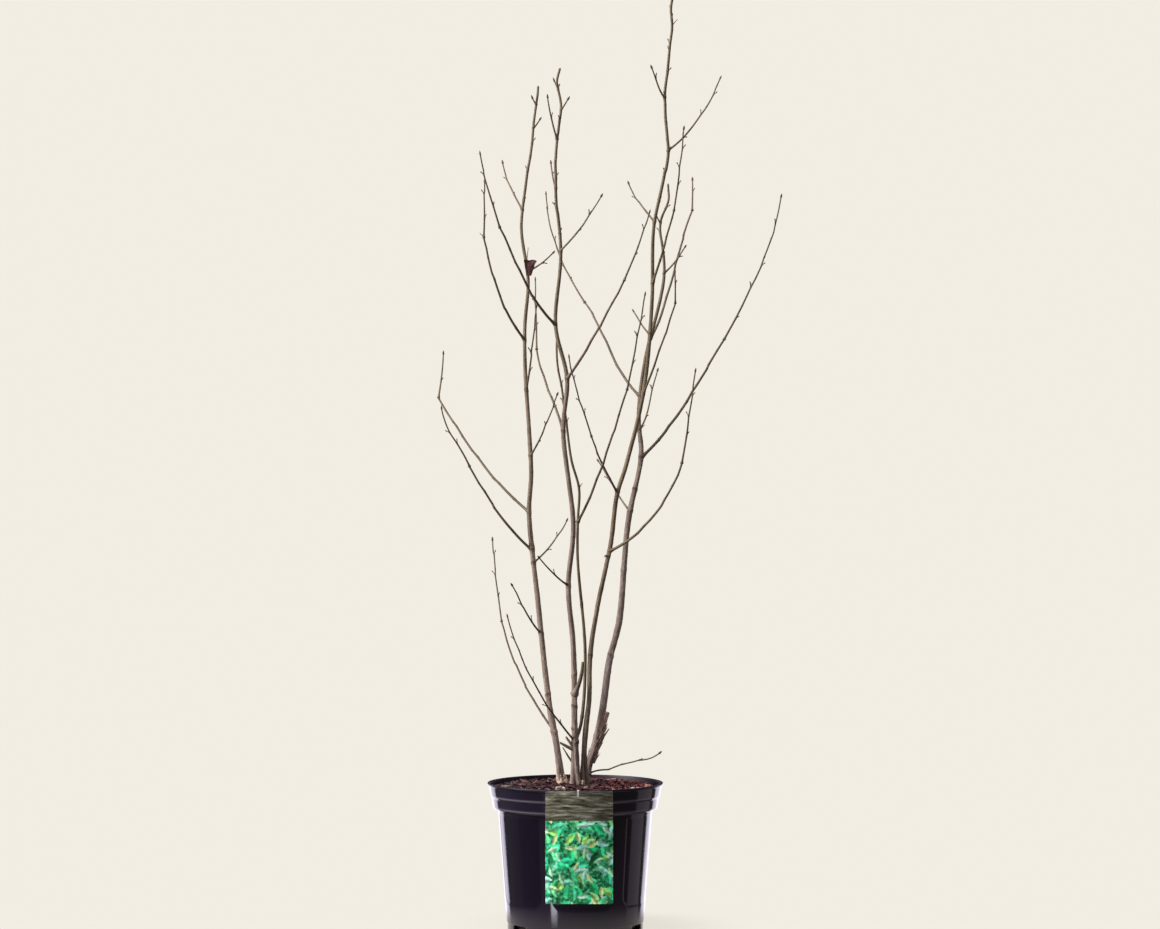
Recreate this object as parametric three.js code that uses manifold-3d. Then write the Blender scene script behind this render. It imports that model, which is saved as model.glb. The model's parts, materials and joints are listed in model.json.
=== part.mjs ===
// A young tulip tree in winter, bare of leaves, in the round plastic pot that a nursery grows it in.
// Five stems rise from one root, each with its boughs and bare twigs, and a card label hangs on the rim.
// Units are millimetres, +Z is up, and the origin is the middle of the pot's flat underside.
import * as THREE from 'three';
import { mergeVertices } from 'three/addons/utils/BufferGeometryUtils.js';
import Module from 'manifold-3d';

const wasm = await Module();
wasm.setup();

// Driving dimensions. Thicknesses of limbs are diameters.

const gap = 0.3; // clearance kept between pieces that touch

// The pot's outer wall. Its rim is two stepped bands under a thin lip.
const pot = {
  height: 233,
  wall: 2.6,
  floor: 3,
  segments: 60,
  foot: { radius: 108, top: 12, step: 1.2 },
  body: { radius: 123, top: 188 },
  lowerBand: { bottom: 191, top: 206, radius: 131, topRadius: 133 },
  upperBand: { bottom: 208.5, top: 229.5, radius: 135, topRadius: 137.8 },
  lipRadius: 140,
};

// Shallow panels round the body, with a drain notch under each of them. Offsets round the pot and the
// panel's width are in degrees.
const panel = { count: 6, offset: 7, width: 53, columns: 12, recess: 1.2, corner: 20, bottom: 41, top: 186 };
const notch = { offset: 5, width: 36, height: 12, depth: 14 };

// The soil is mounded round the stems, and its flat facets stay clear of the pot's.
const soil = { top: 229, mound: 48, edge: 223, clear: 0.45, segments: 48 };

// The card hangs in front of the lip, a little to the right, by a strap that hooks over it.
const card = { width: 105, height: 175, thickness: 0.8, corner: 2, top: 232, middle: 6.4 };
const strap = { width: 8, foot: 226, overlap: 8, reach: 7.6, middle: 4.6 };

const ground = soil.top + gap;
const taper = { power: 1.15, flareHeight: 26 }; // the root flare dies away above the soil
const stemRings = { spacing: 30, sides: 8 };
const boughRings = { spacing: 22, sides: 6 };
const twigRings = { spacing: 26, sides: 4 };
const boughEnd = 0.68; // thickness where a bough turns into twigs, as a share of its foot's
const twigTip = 1.7;

// Short spurs that stand on the twigs, one at each bud, turned by the golden angle from the last.
const spur = {
  spacing: 46,
  scatter: 0.5,
  goldenAngle: 137.5,
  lean: 32,
  shortest: 5,
  longest: 9,
  foot: 1.4,
  tip: 0.9,
  sides: 3,
  clear: 2,
  probe: 4,
  seed: 7,
};

// Each stem passes through its growth nodes [x, y, z], from under the soil to its tip.
// Above the height twigsFrom it is part of its crown of twigs.
const stems = [
  {
    name: 'left',
    nodes: [
      [-20, 2, 220], [-29, 4, 287], [-42, 8, 359], [-60, 20, 523], [-74, 30, 661], [-71, 34, 728],
      [-81, 46, 905], [-81, 50, 965], [-76, 54, 1036], [-87, 60, 1125], [-72, 66, 1245], [-60, 72, 1352],
    ],
    foot: 8, tip: 2.6, flare: 2, twigsFrom: 1128,
  },
  {
    name: 'inner_left',
    nodes: [
      [0, -9, 220], [-1, -9, 330], [-3, -12, 448], [-11, -16, 548], [-3, -20, 641], [-19, -27, 793],
      [-13, -30, 876], [-31, -34, 960], [-23, -38, 1070], [-31, -42, 1178], [-29, -44, 1255],
      [-22, -46, 1307], [-29, -47, 1343], [-24, -48, 1367],
    ],
    foot: 10.4, tip: 2.8, flare: 5, twigsFrom: 1062,
  },
  {
    name: 'middle', on: 'inner_left',
    nodes: [
      [-1, -9, 296], [9, 0, 326], [16, 12, 435], [4, 10, 587], [4, 5, 648], [6, 1, 701], [-6, -3, 747],
      [-19, -10, 843], [-30, -13, 919], [-29, -15, 946],
    ],
    foot: 5, tip: 2.6, flare: 0, twigsFrom: 760,
  },
  {
    name: 'inner_right',
    nodes: [
      [14, -2, 220], [15, -4, 298], [22, -6, 365], [24, -8, 437], [35, -10, 511], [57, -13, 617],
      [66, -16, 690], [81, -17, 739], [109, -21, 858], [122, -26, 1001], [125, -28, 1119],
      [147, -32, 1232], [142, -34, 1315], [153, -37, 1433], [152, -38, 1462], [157, -38, 1489],
    ],
    foot: 8.8, tip: 2.8, flare: 4, twigsFrom: 1114,
  },
  {
    name: 'right',
    nodes: [
      [17, 15, 220], [20, 15, 258], [31, 15, 287], [44, 18, 350], [55, 23, 427], [70, 27, 487],
      [85, 35, 648], [106, 40, 755], [102, 42, 815], [112, 46, 905], [143, 58, 1042], [138, 66, 1132],
      [151, 70, 1169], [150, 73, 1194],
    ],
    foot: 13.5, tip: 2.6, flare: 3, twigsFrom: 1046,
  },
];

// Each bough leaves its stem at a height, climbs to a growth node and goes on from there as bare twig
// to its furthest tip. Lean and turn are the degrees from the vertical at the start and at the end of
// the bough and of its twig.
const boughs = {
  left: [
    { at: 314, node: [-119, 75, 485], lean: [46, 18], tip: [-135, 105, 622], turn: [20, 10], thick: 3.2 },
    { at: 603, node: [-168, -10, 736], lean: [53, 32], tip: [-212, -45, 833], turn: [28, 6], thick: 3.8 },
    { at: 664, node: [-223, 120, 848], lean: [57, 36], tip: [-216, 140, 926], turn: [18, 4], thick: 3.8 },
    { at: 941, node: [-145, -30, 1099], lean: [56, 18], tip: [-143, -55, 1192], turn: [18, 8], thick: 3.6 },
  ],
  inner_left: [
    { at: 793, node: [-62, 40, 924], lean: [28, 18], tip: [-65, 90, 1044], turn: [26, 14], thick: 3.6 },
    { at: 876, node: [76, -130, 1026], lean: [48, 38], tip: [116, -180, 1133], turn: [34, 24], thick: 3.8 },
    { at: 962, node: [-117, -135, 1108], lean: [64, 38], tip: [-147, -185, 1223], turn: [32, 16], thick: 3.8 },
  ],
  middle: [
    { at: 648, node: [81, -110, 856], lean: [44, 30], tip: [109, -170, 1007], turn: [24, 20], thick: 3.6 },
  ],
  inner_right: [
    { at: 602, node: [167, -95, 741], lean: [70, 22], tip: [188, -130, 890], turn: [18, 14], thick: 4 },
    { at: 695, node: [26, -70, 783], lean: [46, 30], tip: [-10, -125, 912], turn: [30, 14], thick: 3.2 },
    { at: 852, node: [157, -90, 992], lean: [34, 28], tip: [156, -105, 1046], turn: [20, 10], thick: 3.2 },
    { at: 1028, node: [155, -80, 1138], lean: [32, 26], tip: [170, -125, 1268], turn: [24, 14], thick: 3.4 },
  ],
  right: [
    { at: 751, node: [241, 95, 942], lean: [50, 34], tip: [337, 130, 1182], turn: [30, 8], thick: 4.2 },
    { at: 850, node: [16, 150, 1005], lean: [62, 48], tip: [-49, 200, 1192], turn: [40, 2], thick: 3.8 },
    { at: 942, node: [192, 165, 1157], lean: [48, 38], tip: [193, 185, 1214], turn: [26, 10], thick: 3.6 },
  ],
};

// Twigs that stand straight on a stem. One that starts in a stem's crown of twigs is part of it.
const twigs = {
  left: [
    { at: 470, tip: [-102, -40, 552], lean: [60, 42], thick: 2.8 },
    { at: 582, tip: [-12, 85, 653], lean: [58, 34], thick: 2.6 },
    { at: 754, tip: [-27, -60, 854], lean: [56, 40], thick: 2.8 },
    { at: 860, tip: [-61, -25, 995], lean: [34, 22], thick: 2.8 },
    { at: 1050, tip: [-33, 85, 1086], lean: [62, 48], thick: 2.6, leaf: true },
    { at: 1151, tip: [-119, 105, 1235], lean: [42, 14], thick: 2.8 },
    { at: 1284, tip: [-55, 78, 1302], lean: [56, 40], thick: 2.2 },
    { at: 1322, tip: [-71, 66, 1336], lean: [40, 20], thick: 2 },
  ],
  inner_left: [
    { at: 299, tip: [-107, -100, 506], lean: [48, 18], thick: 2.8 },
    { at: 374, tip: [12, -28, 427], lean: [40, 4], thick: 4.4 },
    { at: 548, tip: [-59, -75, 596], lean: [72, 52], thick: 2.8 },
    { at: 1079, tip: [43, -100, 1164], lean: [56, 38], thick: 2.8 },
    { at: 1178, tip: [-39, -15, 1224], lean: [50, 6], thick: 2.6 },
    { at: 1255, tip: [-44, -70, 1323], lean: [34, 10], thick: 2.6 },
    { at: 1302, tip: [-9, -54, 1321], lean: [50, 40], thick: 2.2 },
    { at: 1340, tip: [-35, -46, 1352], lean: [50, 20], thick: 2 },
  ],
  inner_right: [
    { at: 947, tip: [91, 5, 988], lean: [60, 40], thick: 2.4 },
    { at: 1125, tip: [84, 20, 1194], lean: [48, 26], thick: 2.8 },
    { at: 1238, tip: [234, 25, 1363], lean: [56, 24], thick: 2.8 },
    { at: 1321, tip: [119, -62, 1370], lean: [60, 34], thick: 2.8 },
  ],
  right: [
    { at: 243, tip: [136, -30, 284], lean: [48, 34], thick: 2.4 },
    { at: 665, tip: [35, 95, 749], lean: [54, 46], thick: 2.8 },
    { at: 796, tip: [135, 110, 897], lean: [62, 40], thick: 2.6 },
    { at: 1049, tip: [180, 90, 1096], lean: [58, 42], thick: 2.6 },
    { at: 1130, tip: [129, 60, 1147], lean: [50, 24], thick: 2.2 },
  ],
};

// Old cut and broken ends low on the stems. They are part of the stem.
const snags = {
  inner_left: [
    { at: 284, tip: [-25, -18, 298], thick: 4, end: 2 },
    { at: 258, tip: [-20, -14, 290], thick: 2.6, end: 1.6 },
  ],
  inner_right: [
    { at: 596, tip: [46, -20, 594], thick: 4, end: 3 },
  ],
  right: [
    { at: 300, tip: [50, 14, 344], thick: 7, end: 5 },
    { at: 280, tip: [54, 4, 318], thick: 3, end: 1.6 },
  ],
};
const snagRings = { spacing: 30, sides: 5 };

// The one dead leaf that is left, folded and curled up, caught at the foot of a twig.
const deadLeaf = {
  length: 20,
  width: 14,
  blunt: 0.15,
  thickness: 0.8,
  fold: 5,
  curl: 4,
  below: 0.15,
  at: 0.1,
  columns: 4,
  rows: 5,
};

const finishes = {
  pot: new THREE.MeshStandardMaterial({ color: 0x1d1a24, roughness: 0.28, metalness: 0 }),
  soil: new THREE.MeshStandardMaterial({ color: 0x3a251c, roughness: 0.95, metalness: 0 }),
  card: new THREE.MeshStandardMaterial({ color: 0x5d9450, roughness: 0.5, metalness: 0 }),
  bark: new THREE.MeshStandardMaterial({ color: 0x5b4a42, roughness: 0.85, metalness: 0 }),
  twig: new THREE.MeshStandardMaterial({ color: 0x584338, roughness: 0.75, metalness: 0 }),
};

// Solids and meshes

function solidOf(geometry) {
  const bare = geometry.index ? geometry.toNonIndexed() : geometry.clone();
  bare.deleteAttribute('normal');
  bare.deleteAttribute('uv');
  const merged = mergeVertices(bare);
  const corners = merged.index.array;
  const faces = [];
  for (let i = 0; i < corners.length; i += 3) {
    const [a, b, c] = corners.subarray(i, i + 3);
    if (a !== b && b !== c && c !== a) faces.push(a, b, c);
  }
  return new wasm.Manifold(new wasm.Mesh({
    numProp: 3,
    vertProperties: Float32Array.from(merged.attributes.position.array),
    triVerts: Uint32Array.from(faces),
  }));
}

function geometryOf(solid) {
  const { vertProperties, triVerts } = solid.getMesh();
  const geometry = new THREE.BufferGeometry();
  geometry.setAttribute('position', new THREE.BufferAttribute(vertProperties, 3));
  geometry.setIndex(new THREE.BufferAttribute(triVerts, 1));
  geometry.computeVertexNormals();
  return geometry;
}

function joined(solids) {
  return solids.reduce((whole, solid) => whole.add(solid));
}

function largestBody(solid) {
  const bodies = solid.decompose();
  return bodies.reduce((largest, body) => (body.volume() > largest.volume() ? body : largest));
}

function turned(profile, segments) {
  const points = profile.map(([radius, height]) => new THREE.Vector2(radius, height));
  return solidOf(new THREE.LatheGeometry(points, segments).rotateX(Math.PI / 2));
}

function addMesh(group, name, solid, material) {
  const mesh = new THREE.Mesh(geometryOf(solid), material);
  mesh.name = name;
  group.add(mesh);
}

// The pot, its soil and the card on its rim

function bodyRadiusAt(height) {
  const { foot, body } = pot;
  const rise = (height - foot.top) / (body.top - foot.top);
  return THREE.MathUtils.lerp(foot.radius + foot.step, body.radius, rise);
}

function potWall() {
  const { foot, body, lowerBand, upperBand, wall } = pot;
  const outside = [
    [foot.radius, 0],
    [foot.radius, foot.top],
    [bodyRadiusAt(foot.top), foot.top],
    [body.radius, body.top],
    [lowerBand.radius, lowerBand.bottom],
    [lowerBand.topRadius, lowerBand.top],
    [upperBand.radius, upperBand.bottom],
    [upperBand.topRadius, upperBand.top],
    [pot.lipRadius, upperBand.top],
    [pot.lipRadius, pot.height],
  ];
  const inside = [
    [upperBand.topRadius - wall, pot.height],
    [upperBand.radius - wall, upperBand.bottom],
    [lowerBand.topRadius - wall, lowerBand.top],
    [lowerBand.radius - wall, lowerBand.bottom + wall],
    [body.radius - wall, body.top + wall],
    [foot.radius - wall, foot.top],
    [foot.radius - wall, pot.floor],
  ];
  return turned([[0, 0], ...outside, ...inside, [0, pot.floor]], pot.segments);
}

// A slab bent round the wall, with its two lower corners rounded.
function panelCutter(middle) {
  const slab = new THREE.BoxGeometry(1, 1, 1, panel.columns, 1, 1);
  const place = slab.attributes.position;
  const halfWidth = THREE.MathUtils.degToRad(panel.width / 2);
  for (let i = 0; i < place.count; i += 1) {
    const across = 2 * place.getX(i) * halfWidth;
    const intoCorner = Math.max(0, (Math.abs(across) - halfWidth) * pot.foot.radius + panel.corner);
    const lift = panel.corner - Math.sqrt(Math.max(0, panel.corner ** 2 - intoCorner ** 2));
    const height = place.getY(i) < 0 ? panel.bottom + lift : panel.top;
    const radius = bodyRadiusAt(height) + (place.getZ(i) < 0 ? -panel.recess : pot.wall);
    const angle = middle - across;
    place.setXYZ(i, radius * Math.cos(angle), radius * Math.sin(angle), height);
  }
  return solidOf(slab);
}

function notchCutter(middle) {
  const block = new THREE.BoxGeometry(notch.depth, notch.width, 2 * notch.height);
  block.translate(pot.foot.radius, 0, 0).rotateZ(middle);
  return solidOf(block);
}

function makePot() {
  let solid = potWall();
  for (let i = 0; i < panel.count; i += 1) {
    const turn = (i * 360) / panel.count - 90;
    solid = solid
      .subtract(panelCutter(THREE.MathUtils.degToRad(turn + panel.offset)))
      .subtract(notchCutter(THREE.MathUtils.degToRad(turn + notch.offset)));
  }
  return solid;
}

// The soil fills the pot, and narrows at its foot behind the drain notches.
function makeSoil() {
  const { foot, body, lowerBand, upperBand } = pot;
  const inset = pot.wall + soil.clear;
  return turned([
    [0, pot.floor + gap],
    [foot.radius - inset - notch.depth / 2, pot.floor + gap],
    [foot.radius - inset, foot.top + notch.height],
    [body.radius - inset, body.top + inset],
    [lowerBand.radius - inset, lowerBand.bottom + inset],
    [lowerBand.topRadius - inset, lowerBand.top],
    [upperBand.radius - inset, upperBand.bottom],
    [upperBand.radius - inset, soil.edge],
    [soil.mound * 2, (soil.top + soil.edge) / 2],
    [soil.mound, soil.top],
    [0, soil.top],
  ], soil.segments);
}

function cardSheet() {
  const { width, height, corner, thickness, top, middle } = card;
  const outline = new THREE.Shape();
  outline.moveTo(corner, 0);
  outline.lineTo(width - corner, 0);
  outline.absarc(width - corner, corner, corner, -Math.PI / 2, 0);
  outline.lineTo(width, height - corner);
  outline.absarc(width - corner, height - corner, corner, 0, Math.PI / 2);
  outline.lineTo(corner, height);
  outline.absarc(corner, height - corner, corner, Math.PI / 2, Math.PI);
  outline.lineTo(0, corner);
  outline.absarc(corner, corner, corner, Math.PI, Math.PI * 1.5);
  const options = { depth: thickness, bevelEnabled: false, curveSegments: 3 };
  const sheet = new THREE.ExtrudeGeometry(outline, options).rotateX(Math.PI / 2);
  return sheet.translate(middle - width / 2, -pot.lipRadius - gap, top - height);
}

// The strap's outline is seen from the side: up the card's face, over the lip and down inside it.
function cardStrap() {
  const front = pot.lipRadius + gap;
  const over = pot.height + gap;
  const foot = card.top - strap.overlap;
  const { thickness } = card;
  const hook = new THREE.Shape();
  hook.moveTo(front, foot);
  hook.lineTo(front + thickness, foot);
  hook.lineTo(front + thickness, over + thickness);
  hook.lineTo(front - strap.reach, over + thickness);
  hook.lineTo(front - strap.reach, strap.foot);
  hook.lineTo(front - strap.reach + thickness, strap.foot);
  hook.lineTo(front - strap.reach + thickness, over);
  hook.lineTo(front, over);
  const strip = new THREE.ExtrudeGeometry(hook, { depth: strap.width, bevelEnabled: false });
  return strip.rotateX(Math.PI / 2).rotateZ(-Math.PI / 2).translate(strap.middle + strap.width / 2, 0, 0);
}

// Limbs

// One run of growth: it leaves its start and reaches its end at given leans from the vertical.
class Growth extends THREE.Curve {
  constructor(start, end, leans) {
    super();
    this.start = start;
    this.end = end;
    const run = end.clone().sub(start);
    const out = new THREE.Vector3(run.x, run.y, 0).normalize();
    const [leave, arrive] = leans.map((lean) => {
      const angle = THREE.MathUtils.degToRad(lean);
      const heading = out.clone().multiplyScalar(Math.sin(angle)).setZ(Math.cos(angle));
      return heading.multiplyScalar(run.length());
    });
    this.leave = leave;
    this.arrive = arrive;
  }

  getPoint(t, target = new THREE.Vector3()) {
    const t2 = t * t;
    const t3 = t2 * t;
    return target.set(0, 0, 0)
      .addScaledVector(this.start, 2 * t3 - 3 * t2 + 1)
      .addScaledVector(this.leave, t3 - 2 * t2 + t)
      .addScaledVector(this.end, 3 * t2 - 2 * t3)
      .addScaledVector(this.arrive, t3 - t2);
  }
}

// A limb is a curve, the part of it that the limb covers, and its radius along it.
// The skin is a closed cylinder that is laid along the curve ring by ring, and extra makes it fatter.
function limbSolid({ curve, from = 0, to = 1, radiusAt, rings }, extra = 0) {
  const length = curve.getLength() * (to - from);
  const last = Math.max(1, Math.round(length / rings.spacing));
  const stations = [];
  const side = new THREE.Vector3(1, 0, 0);
  for (let i = 0; i <= last; i += 1) {
    const along = THREE.MathUtils.lerp(from, to, i / last);
    const heading = curve.getTangentAt(along);
    const centre = curve.getPointAt(along);
    if (i === 0) centre.addScaledVector(heading, -extra);
    if (i === last) centre.addScaledVector(heading, extra);
    side.addScaledVector(heading, -side.dot(heading)).normalize();
    const across = new THREE.Vector3().crossVectors(heading, side);
    stations.push({ centre, side: side.clone(), across, radius: radiusAt(along) + extra });
  }
  const skin = new THREE.CylinderGeometry(1, 1, last, rings.sides, last);
  const place = skin.attributes.position;
  const point = new THREE.Vector3();
  for (let i = 0; i < place.count; i += 1) {
    const station = stations[Math.round(place.getY(i) + last / 2)];
    point.copy(station.centre)
      .addScaledVector(station.side, place.getX(i) * station.radius)
      .addScaledVector(station.across, -place.getZ(i) * station.radius);
    place.setXYZ(i, point.x, point.y, point.z);
  }
  return solidOf(skin);
}

// The share of a rising curve's length at which it passes a height, found by halving.
function alongAtHeight(curve, height) {
  const halvings = 30;
  let low = 0;
  let high = 1;
  for (let i = 0; i < halvings; i += 1) {
    const middle = (low + high) / 2;
    if (curve.getPointAt(middle).z < height) low = middle;
    else high = middle;
  }
  return (low + high) / 2;
}

function taperedRadius(thick, tip) {
  return (along) => (tip + (thick - tip) * (1 - along) ** taper.power) / 2;
}

function growStem({ name, on, nodes, foot, tip, flare, twigsFrom }) {
  const curve = new THREE.CatmullRomCurve3(nodes.map((node) => new THREE.Vector3(...node)));
  const slim = taperedRadius(foot, tip);
  const radiusAt = (along) => {
    const height = Math.max(0, curve.getPointAt(along).z - ground);
    return slim(along) + (flare / 2) * Math.exp(-height / taper.flareHeight);
  };
  const split = alongAtHeight(curve, twigsFrom);
  const restart = split + gap / curve.getLength();
  return {
    name, on, split,
    stem: { name: `stem_${name}`, curve, to: split, radiusAt, rings: stemRings },
    top: { name: `twigs_${name}_top`, curve, from: restart, radiusAt, rings: twigRings },
  };
}

const grownStems = new Map(stems.map((spec) => [spec.name, growStem(spec)]));

function startOn({ curve }, height) {
  return curve.getPointAt(alongAtHeight(curve, height));
}

function growBough(on, number, { at, node, lean, tip, turn, thick }) {
  const { stem } = grownStems.get(on);
  const joint = new THREE.Vector3(...node);
  const climb = new Growth(startOn(stem, at), joint, lean);
  const restart = joint.clone().addScaledVector(climb.getTangentAt(1), gap);
  const bough = {
    name: `bough_${on}_${number}`, curve: climb, parent: stem,
    radiusAt: taperedRadius(thick, thick * boughEnd), rings: boughRings,
  };
  const twig = {
    name: `twigs_${on}_${number}`, curve: new Growth(restart, new THREE.Vector3(...tip), turn),
    parent: bough, radiusAt: taperedRadius(thick * boughEnd, twigTip), rings: twigRings,
  };
  return [bough, twig];
}

function growTwig(on, number, { at, tip, lean, thick, leaf }) {
  const { stem, top, split } = grownStems.get(on);
  const inCrown = alongAtHeight(stem.curve, at) > split;
  return {
    name: `twig_${on}_${number}`, leaf, parent: inCrown ? top : stem,
    curve: new Growth(startOn(stem, at), new THREE.Vector3(...tip), lean),
    radiusAt: taperedRadius(thick, twigTip), rings: twigRings,
  };
}

function growEach(lists, grow) {
  return Object.entries(lists).flatMap(([on, rows]) => rows.map((row, i) => grow(on, i + 1, row)));
}

const grownBoughs = growEach(boughs, growBough);
const grownTwigs = growEach(twigs, growTwig);
const limbs = [
  ...[...grownStems.values()].flatMap(({ stem, top }) => [stem, top]),
  ...grownBoughs.flat(),
  ...grownTwigs,
];

// Points down the middle of every limb, to keep the spurs clear of their neighbours.
const limbPoints = limbs.flatMap((limb) => {
  const { curve, from = 0, to = 1, radiusAt } = limb;
  const count = Math.ceil((curve.getLength() * (to - from)) / spur.probe);
  return Array.from({ length: count + 1 }, (_, i) => {
    const along = THREE.MathUtils.lerp(from, to, i / count);
    return { limb, point: curve.getPointAt(along), radius: radiusAt(along) };
  });
});

function isClear(point, owners) {
  return limbPoints.every(({ limb, point: other, radius }) => (
    owners.includes(limb) || other.distanceTo(point) > radius + spur.clear
  ));
}

// A repeatable random number from 0 to 1 for one bud of one limb.
function chance(limb, bud) {
  const wave = Math.sin(limbs.indexOf(limb) * 12.9898 + bud * 78.233 + spur.seed) * 43758.5453;
  return wave - Math.floor(wave);
}

function spursOn(limb, owners) {
  const { curve, from = 0, to = 1, radiusAt } = limb;
  const count = Math.floor((curve.getLength() * (to - from)) / spur.spacing);
  const lean = THREE.MathUtils.degToRad(spur.lean);
  const solids = [];
  for (let bud = 1; bud <= count; bud += 1) {
    const place = bud + spur.scatter * (chance(limb, bud) - 0.5);
    const along = THREE.MathUtils.lerp(from, to, place / (count + 1));
    const reach = THREE.MathUtils.lerp(spur.shortest, spur.longest, chance(limb, bud + 0.5));
    const heading = curve.getTangentAt(along);
    const side = new THREE.Vector3(1, 0, 0).cross(heading).normalize();
    side.applyAxisAngle(heading, bud * THREE.MathUtils.degToRad(spur.goldenAngle));
    const start = curve.getPointAt(along);
    const end = start.clone()
      .addScaledVector(heading, reach * Math.cos(lean))
      .addScaledVector(side, reach * Math.sin(lean));
    if (isClear(end, owners)) {
      solids.push(limbSolid({
        curve: new THREE.LineCurve3(start, end),
        radiusAt: taperedRadius(radiusAt(along) * spur.foot, spur.tip),
        rings: { spacing: reach, sides: spur.sides },
      }));
    }
  }
  return solids;
}

// A thin blade, folded along its middle and bowed, with a share of its length below the twig.
function leafSolid(twig) {
  const { length, width, blunt, thickness, fold, curl, below, at, columns, rows } = deadLeaf;
  const blade = new THREE.BoxGeometry(1, 1, 1, columns, rows, 1);
  const place = blade.attributes.position;
  for (let i = 0; i < place.count; i += 1) {
    const down = 0.5 - place.getY(i);
    const wide = width * Math.sin(Math.PI * THREE.MathUtils.lerp(blunt, 1 - blunt, down));
    const across = place.getX(i) * wide;
    const folded = (Math.abs(across) * 2 * fold) / width;
    const bowed = curl * (Math.sin(Math.PI * down) - 1);
    place.setXYZ(i, -across, place.getZ(i) * thickness - folded - bowed, (1 - below - down) * length);
  }
  const { x, y, z } = twig.curve.getPointAt(at);
  return solidOf(blade.translate(x, y, z));
}

// Where a limb is cut clear of the one that it stands on, the part that is kept is the outer one.
function clearOf(solid, parent) {
  return largestBody(solid.subtract(limbSolid(parent, gap)));
}

function makeStem({ name, on, stem }) {
  const ends = (snags[name] ?? []).map(({ at, tip, thick, end }) => limbSolid({
    curve: new THREE.LineCurve3(startOn(stem, at), new THREE.Vector3(...tip)),
    radiusAt: taperedRadius(thick, end),
    rings: snagRings,
  }));
  const solid = joined([limbSolid(stem), ...ends]);
  if (on) return clearOf(solid, grownStems.get(on).stem);
  const across = 2 * pot.lipRadius;
  const underground = new THREE.BoxGeometry(across, across, ground).translate(0, 0, ground / 2);
  return solid.subtract(solidOf(underground));
}

function makeTwigs(limb) {
  const sideTwigs = grownTwigs.filter(({ parent }) => parent === limb);
  const owners = [limb, limb.parent, ...sideTwigs];
  const solids = [limb, ...sideTwigs].flatMap((twig) => [limbSolid(twig), ...spursOn(twig, owners)]);
  if (limb.leaf) solids.push(leafSolid(limb));
  const solid = joined(solids);
  return limb.parent ? clearOf(solid, limb.parent) : solid;
}

// The whole plant

const tree = new THREE.Group();
tree.name = 'potted_tulip_tree';
addMesh(tree, 'pot', makePot(), finishes.pot);
addMesh(tree, 'soil', makeSoil(), finishes.soil);
addMesh(tree, 'label_card', solidOf(cardSheet()).add(solidOf(cardStrap())), finishes.card);

for (const stem of grownStems.values()) {
  addMesh(tree, stem.stem.name, makeStem(stem), finishes.bark);
  addMesh(tree, stem.top.name, makeTwigs(stem.top), finishes.twig);
}
for (const [bough, twig] of grownBoughs) {
  addMesh(tree, bough.name, clearOf(limbSolid(bough), bough.parent), finishes.bark);
  addMesh(tree, twig.name, makeTwigs(twig), finishes.twig);
}
for (const twig of grownTwigs.filter(({ parent }) => parent.rings === stemRings)) {
  addMesh(tree, twig.name, makeTwigs(twig), finishes.twig);
}

export default tree;
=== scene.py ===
import bisect
import functools
import json
import math
import random
from types import SimpleNamespace

import bmesh
import bpy
from mathutils import Matrix, Quaternion, Vector, noise

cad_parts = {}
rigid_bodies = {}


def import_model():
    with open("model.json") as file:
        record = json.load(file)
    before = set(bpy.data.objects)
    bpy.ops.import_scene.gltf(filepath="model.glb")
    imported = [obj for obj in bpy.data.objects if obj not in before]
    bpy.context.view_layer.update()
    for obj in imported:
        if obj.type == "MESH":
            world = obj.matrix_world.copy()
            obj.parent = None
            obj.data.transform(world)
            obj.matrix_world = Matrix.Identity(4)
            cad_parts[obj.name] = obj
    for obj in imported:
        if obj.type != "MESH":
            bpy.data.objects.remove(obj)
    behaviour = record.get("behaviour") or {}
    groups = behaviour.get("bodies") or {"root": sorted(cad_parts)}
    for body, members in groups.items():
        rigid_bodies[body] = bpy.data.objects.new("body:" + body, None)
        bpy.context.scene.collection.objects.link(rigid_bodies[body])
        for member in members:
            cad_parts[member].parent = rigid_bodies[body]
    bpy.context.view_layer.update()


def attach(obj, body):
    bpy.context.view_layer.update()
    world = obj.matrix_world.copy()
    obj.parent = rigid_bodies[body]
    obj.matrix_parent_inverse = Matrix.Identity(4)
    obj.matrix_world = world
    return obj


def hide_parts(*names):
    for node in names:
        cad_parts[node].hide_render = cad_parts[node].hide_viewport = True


# A young tulip tree in winter, bare of leaves: five stems from one root in a black nursery pot.
# Sizes in the dictionaries are millimetres, +Z is up, and the origin is the middle of the pot's underside.
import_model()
mm = 0.001
up = Vector((0, 0, 1))


# Nodes, meshes and pieces

def linearColour(hexCode):
    shares = [int(hexCode[i:i + 2], 16) / 255 for i in (1, 3, 5)]
    return (*[s / 12.92 if s <= 0.04045 else ((s + 0.055) / 1.055) ** 2.4 for s in shares], 1)


def setInputs(node, inputs):
    # a node or a socket is linked, a hex code is turned to linear, and anything else is set as it is
    for name, value in inputs.items():
        if isinstance(value, bpy.types.Node):
            value = next(socket for socket in value.outputs if socket.enabled)
        if isinstance(value, bpy.types.NodeSocket):
            node.id_data.links.new(value, node.inputs[name])
        else:
            node.inputs[name].default_value = linearColour(value) if isinstance(value, str) else value


def addNode(tree, kind, inputs, stops=(), **settings):
    # inputs go by name or by place, and stops are those of a colour ramp
    node = tree.nodes.new("ShaderNode" + kind)
    for name, value in settings.items():
        setattr(node, name, value)
    for i, (place, colour) in enumerate(stops):
        points = node.color_ramp.elements
        point = points[i] if i < 2 else points.new(place)
        point.position = place
        point.color = linearColour(colour)
    setInputs(node, inputs)
    return node


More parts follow.
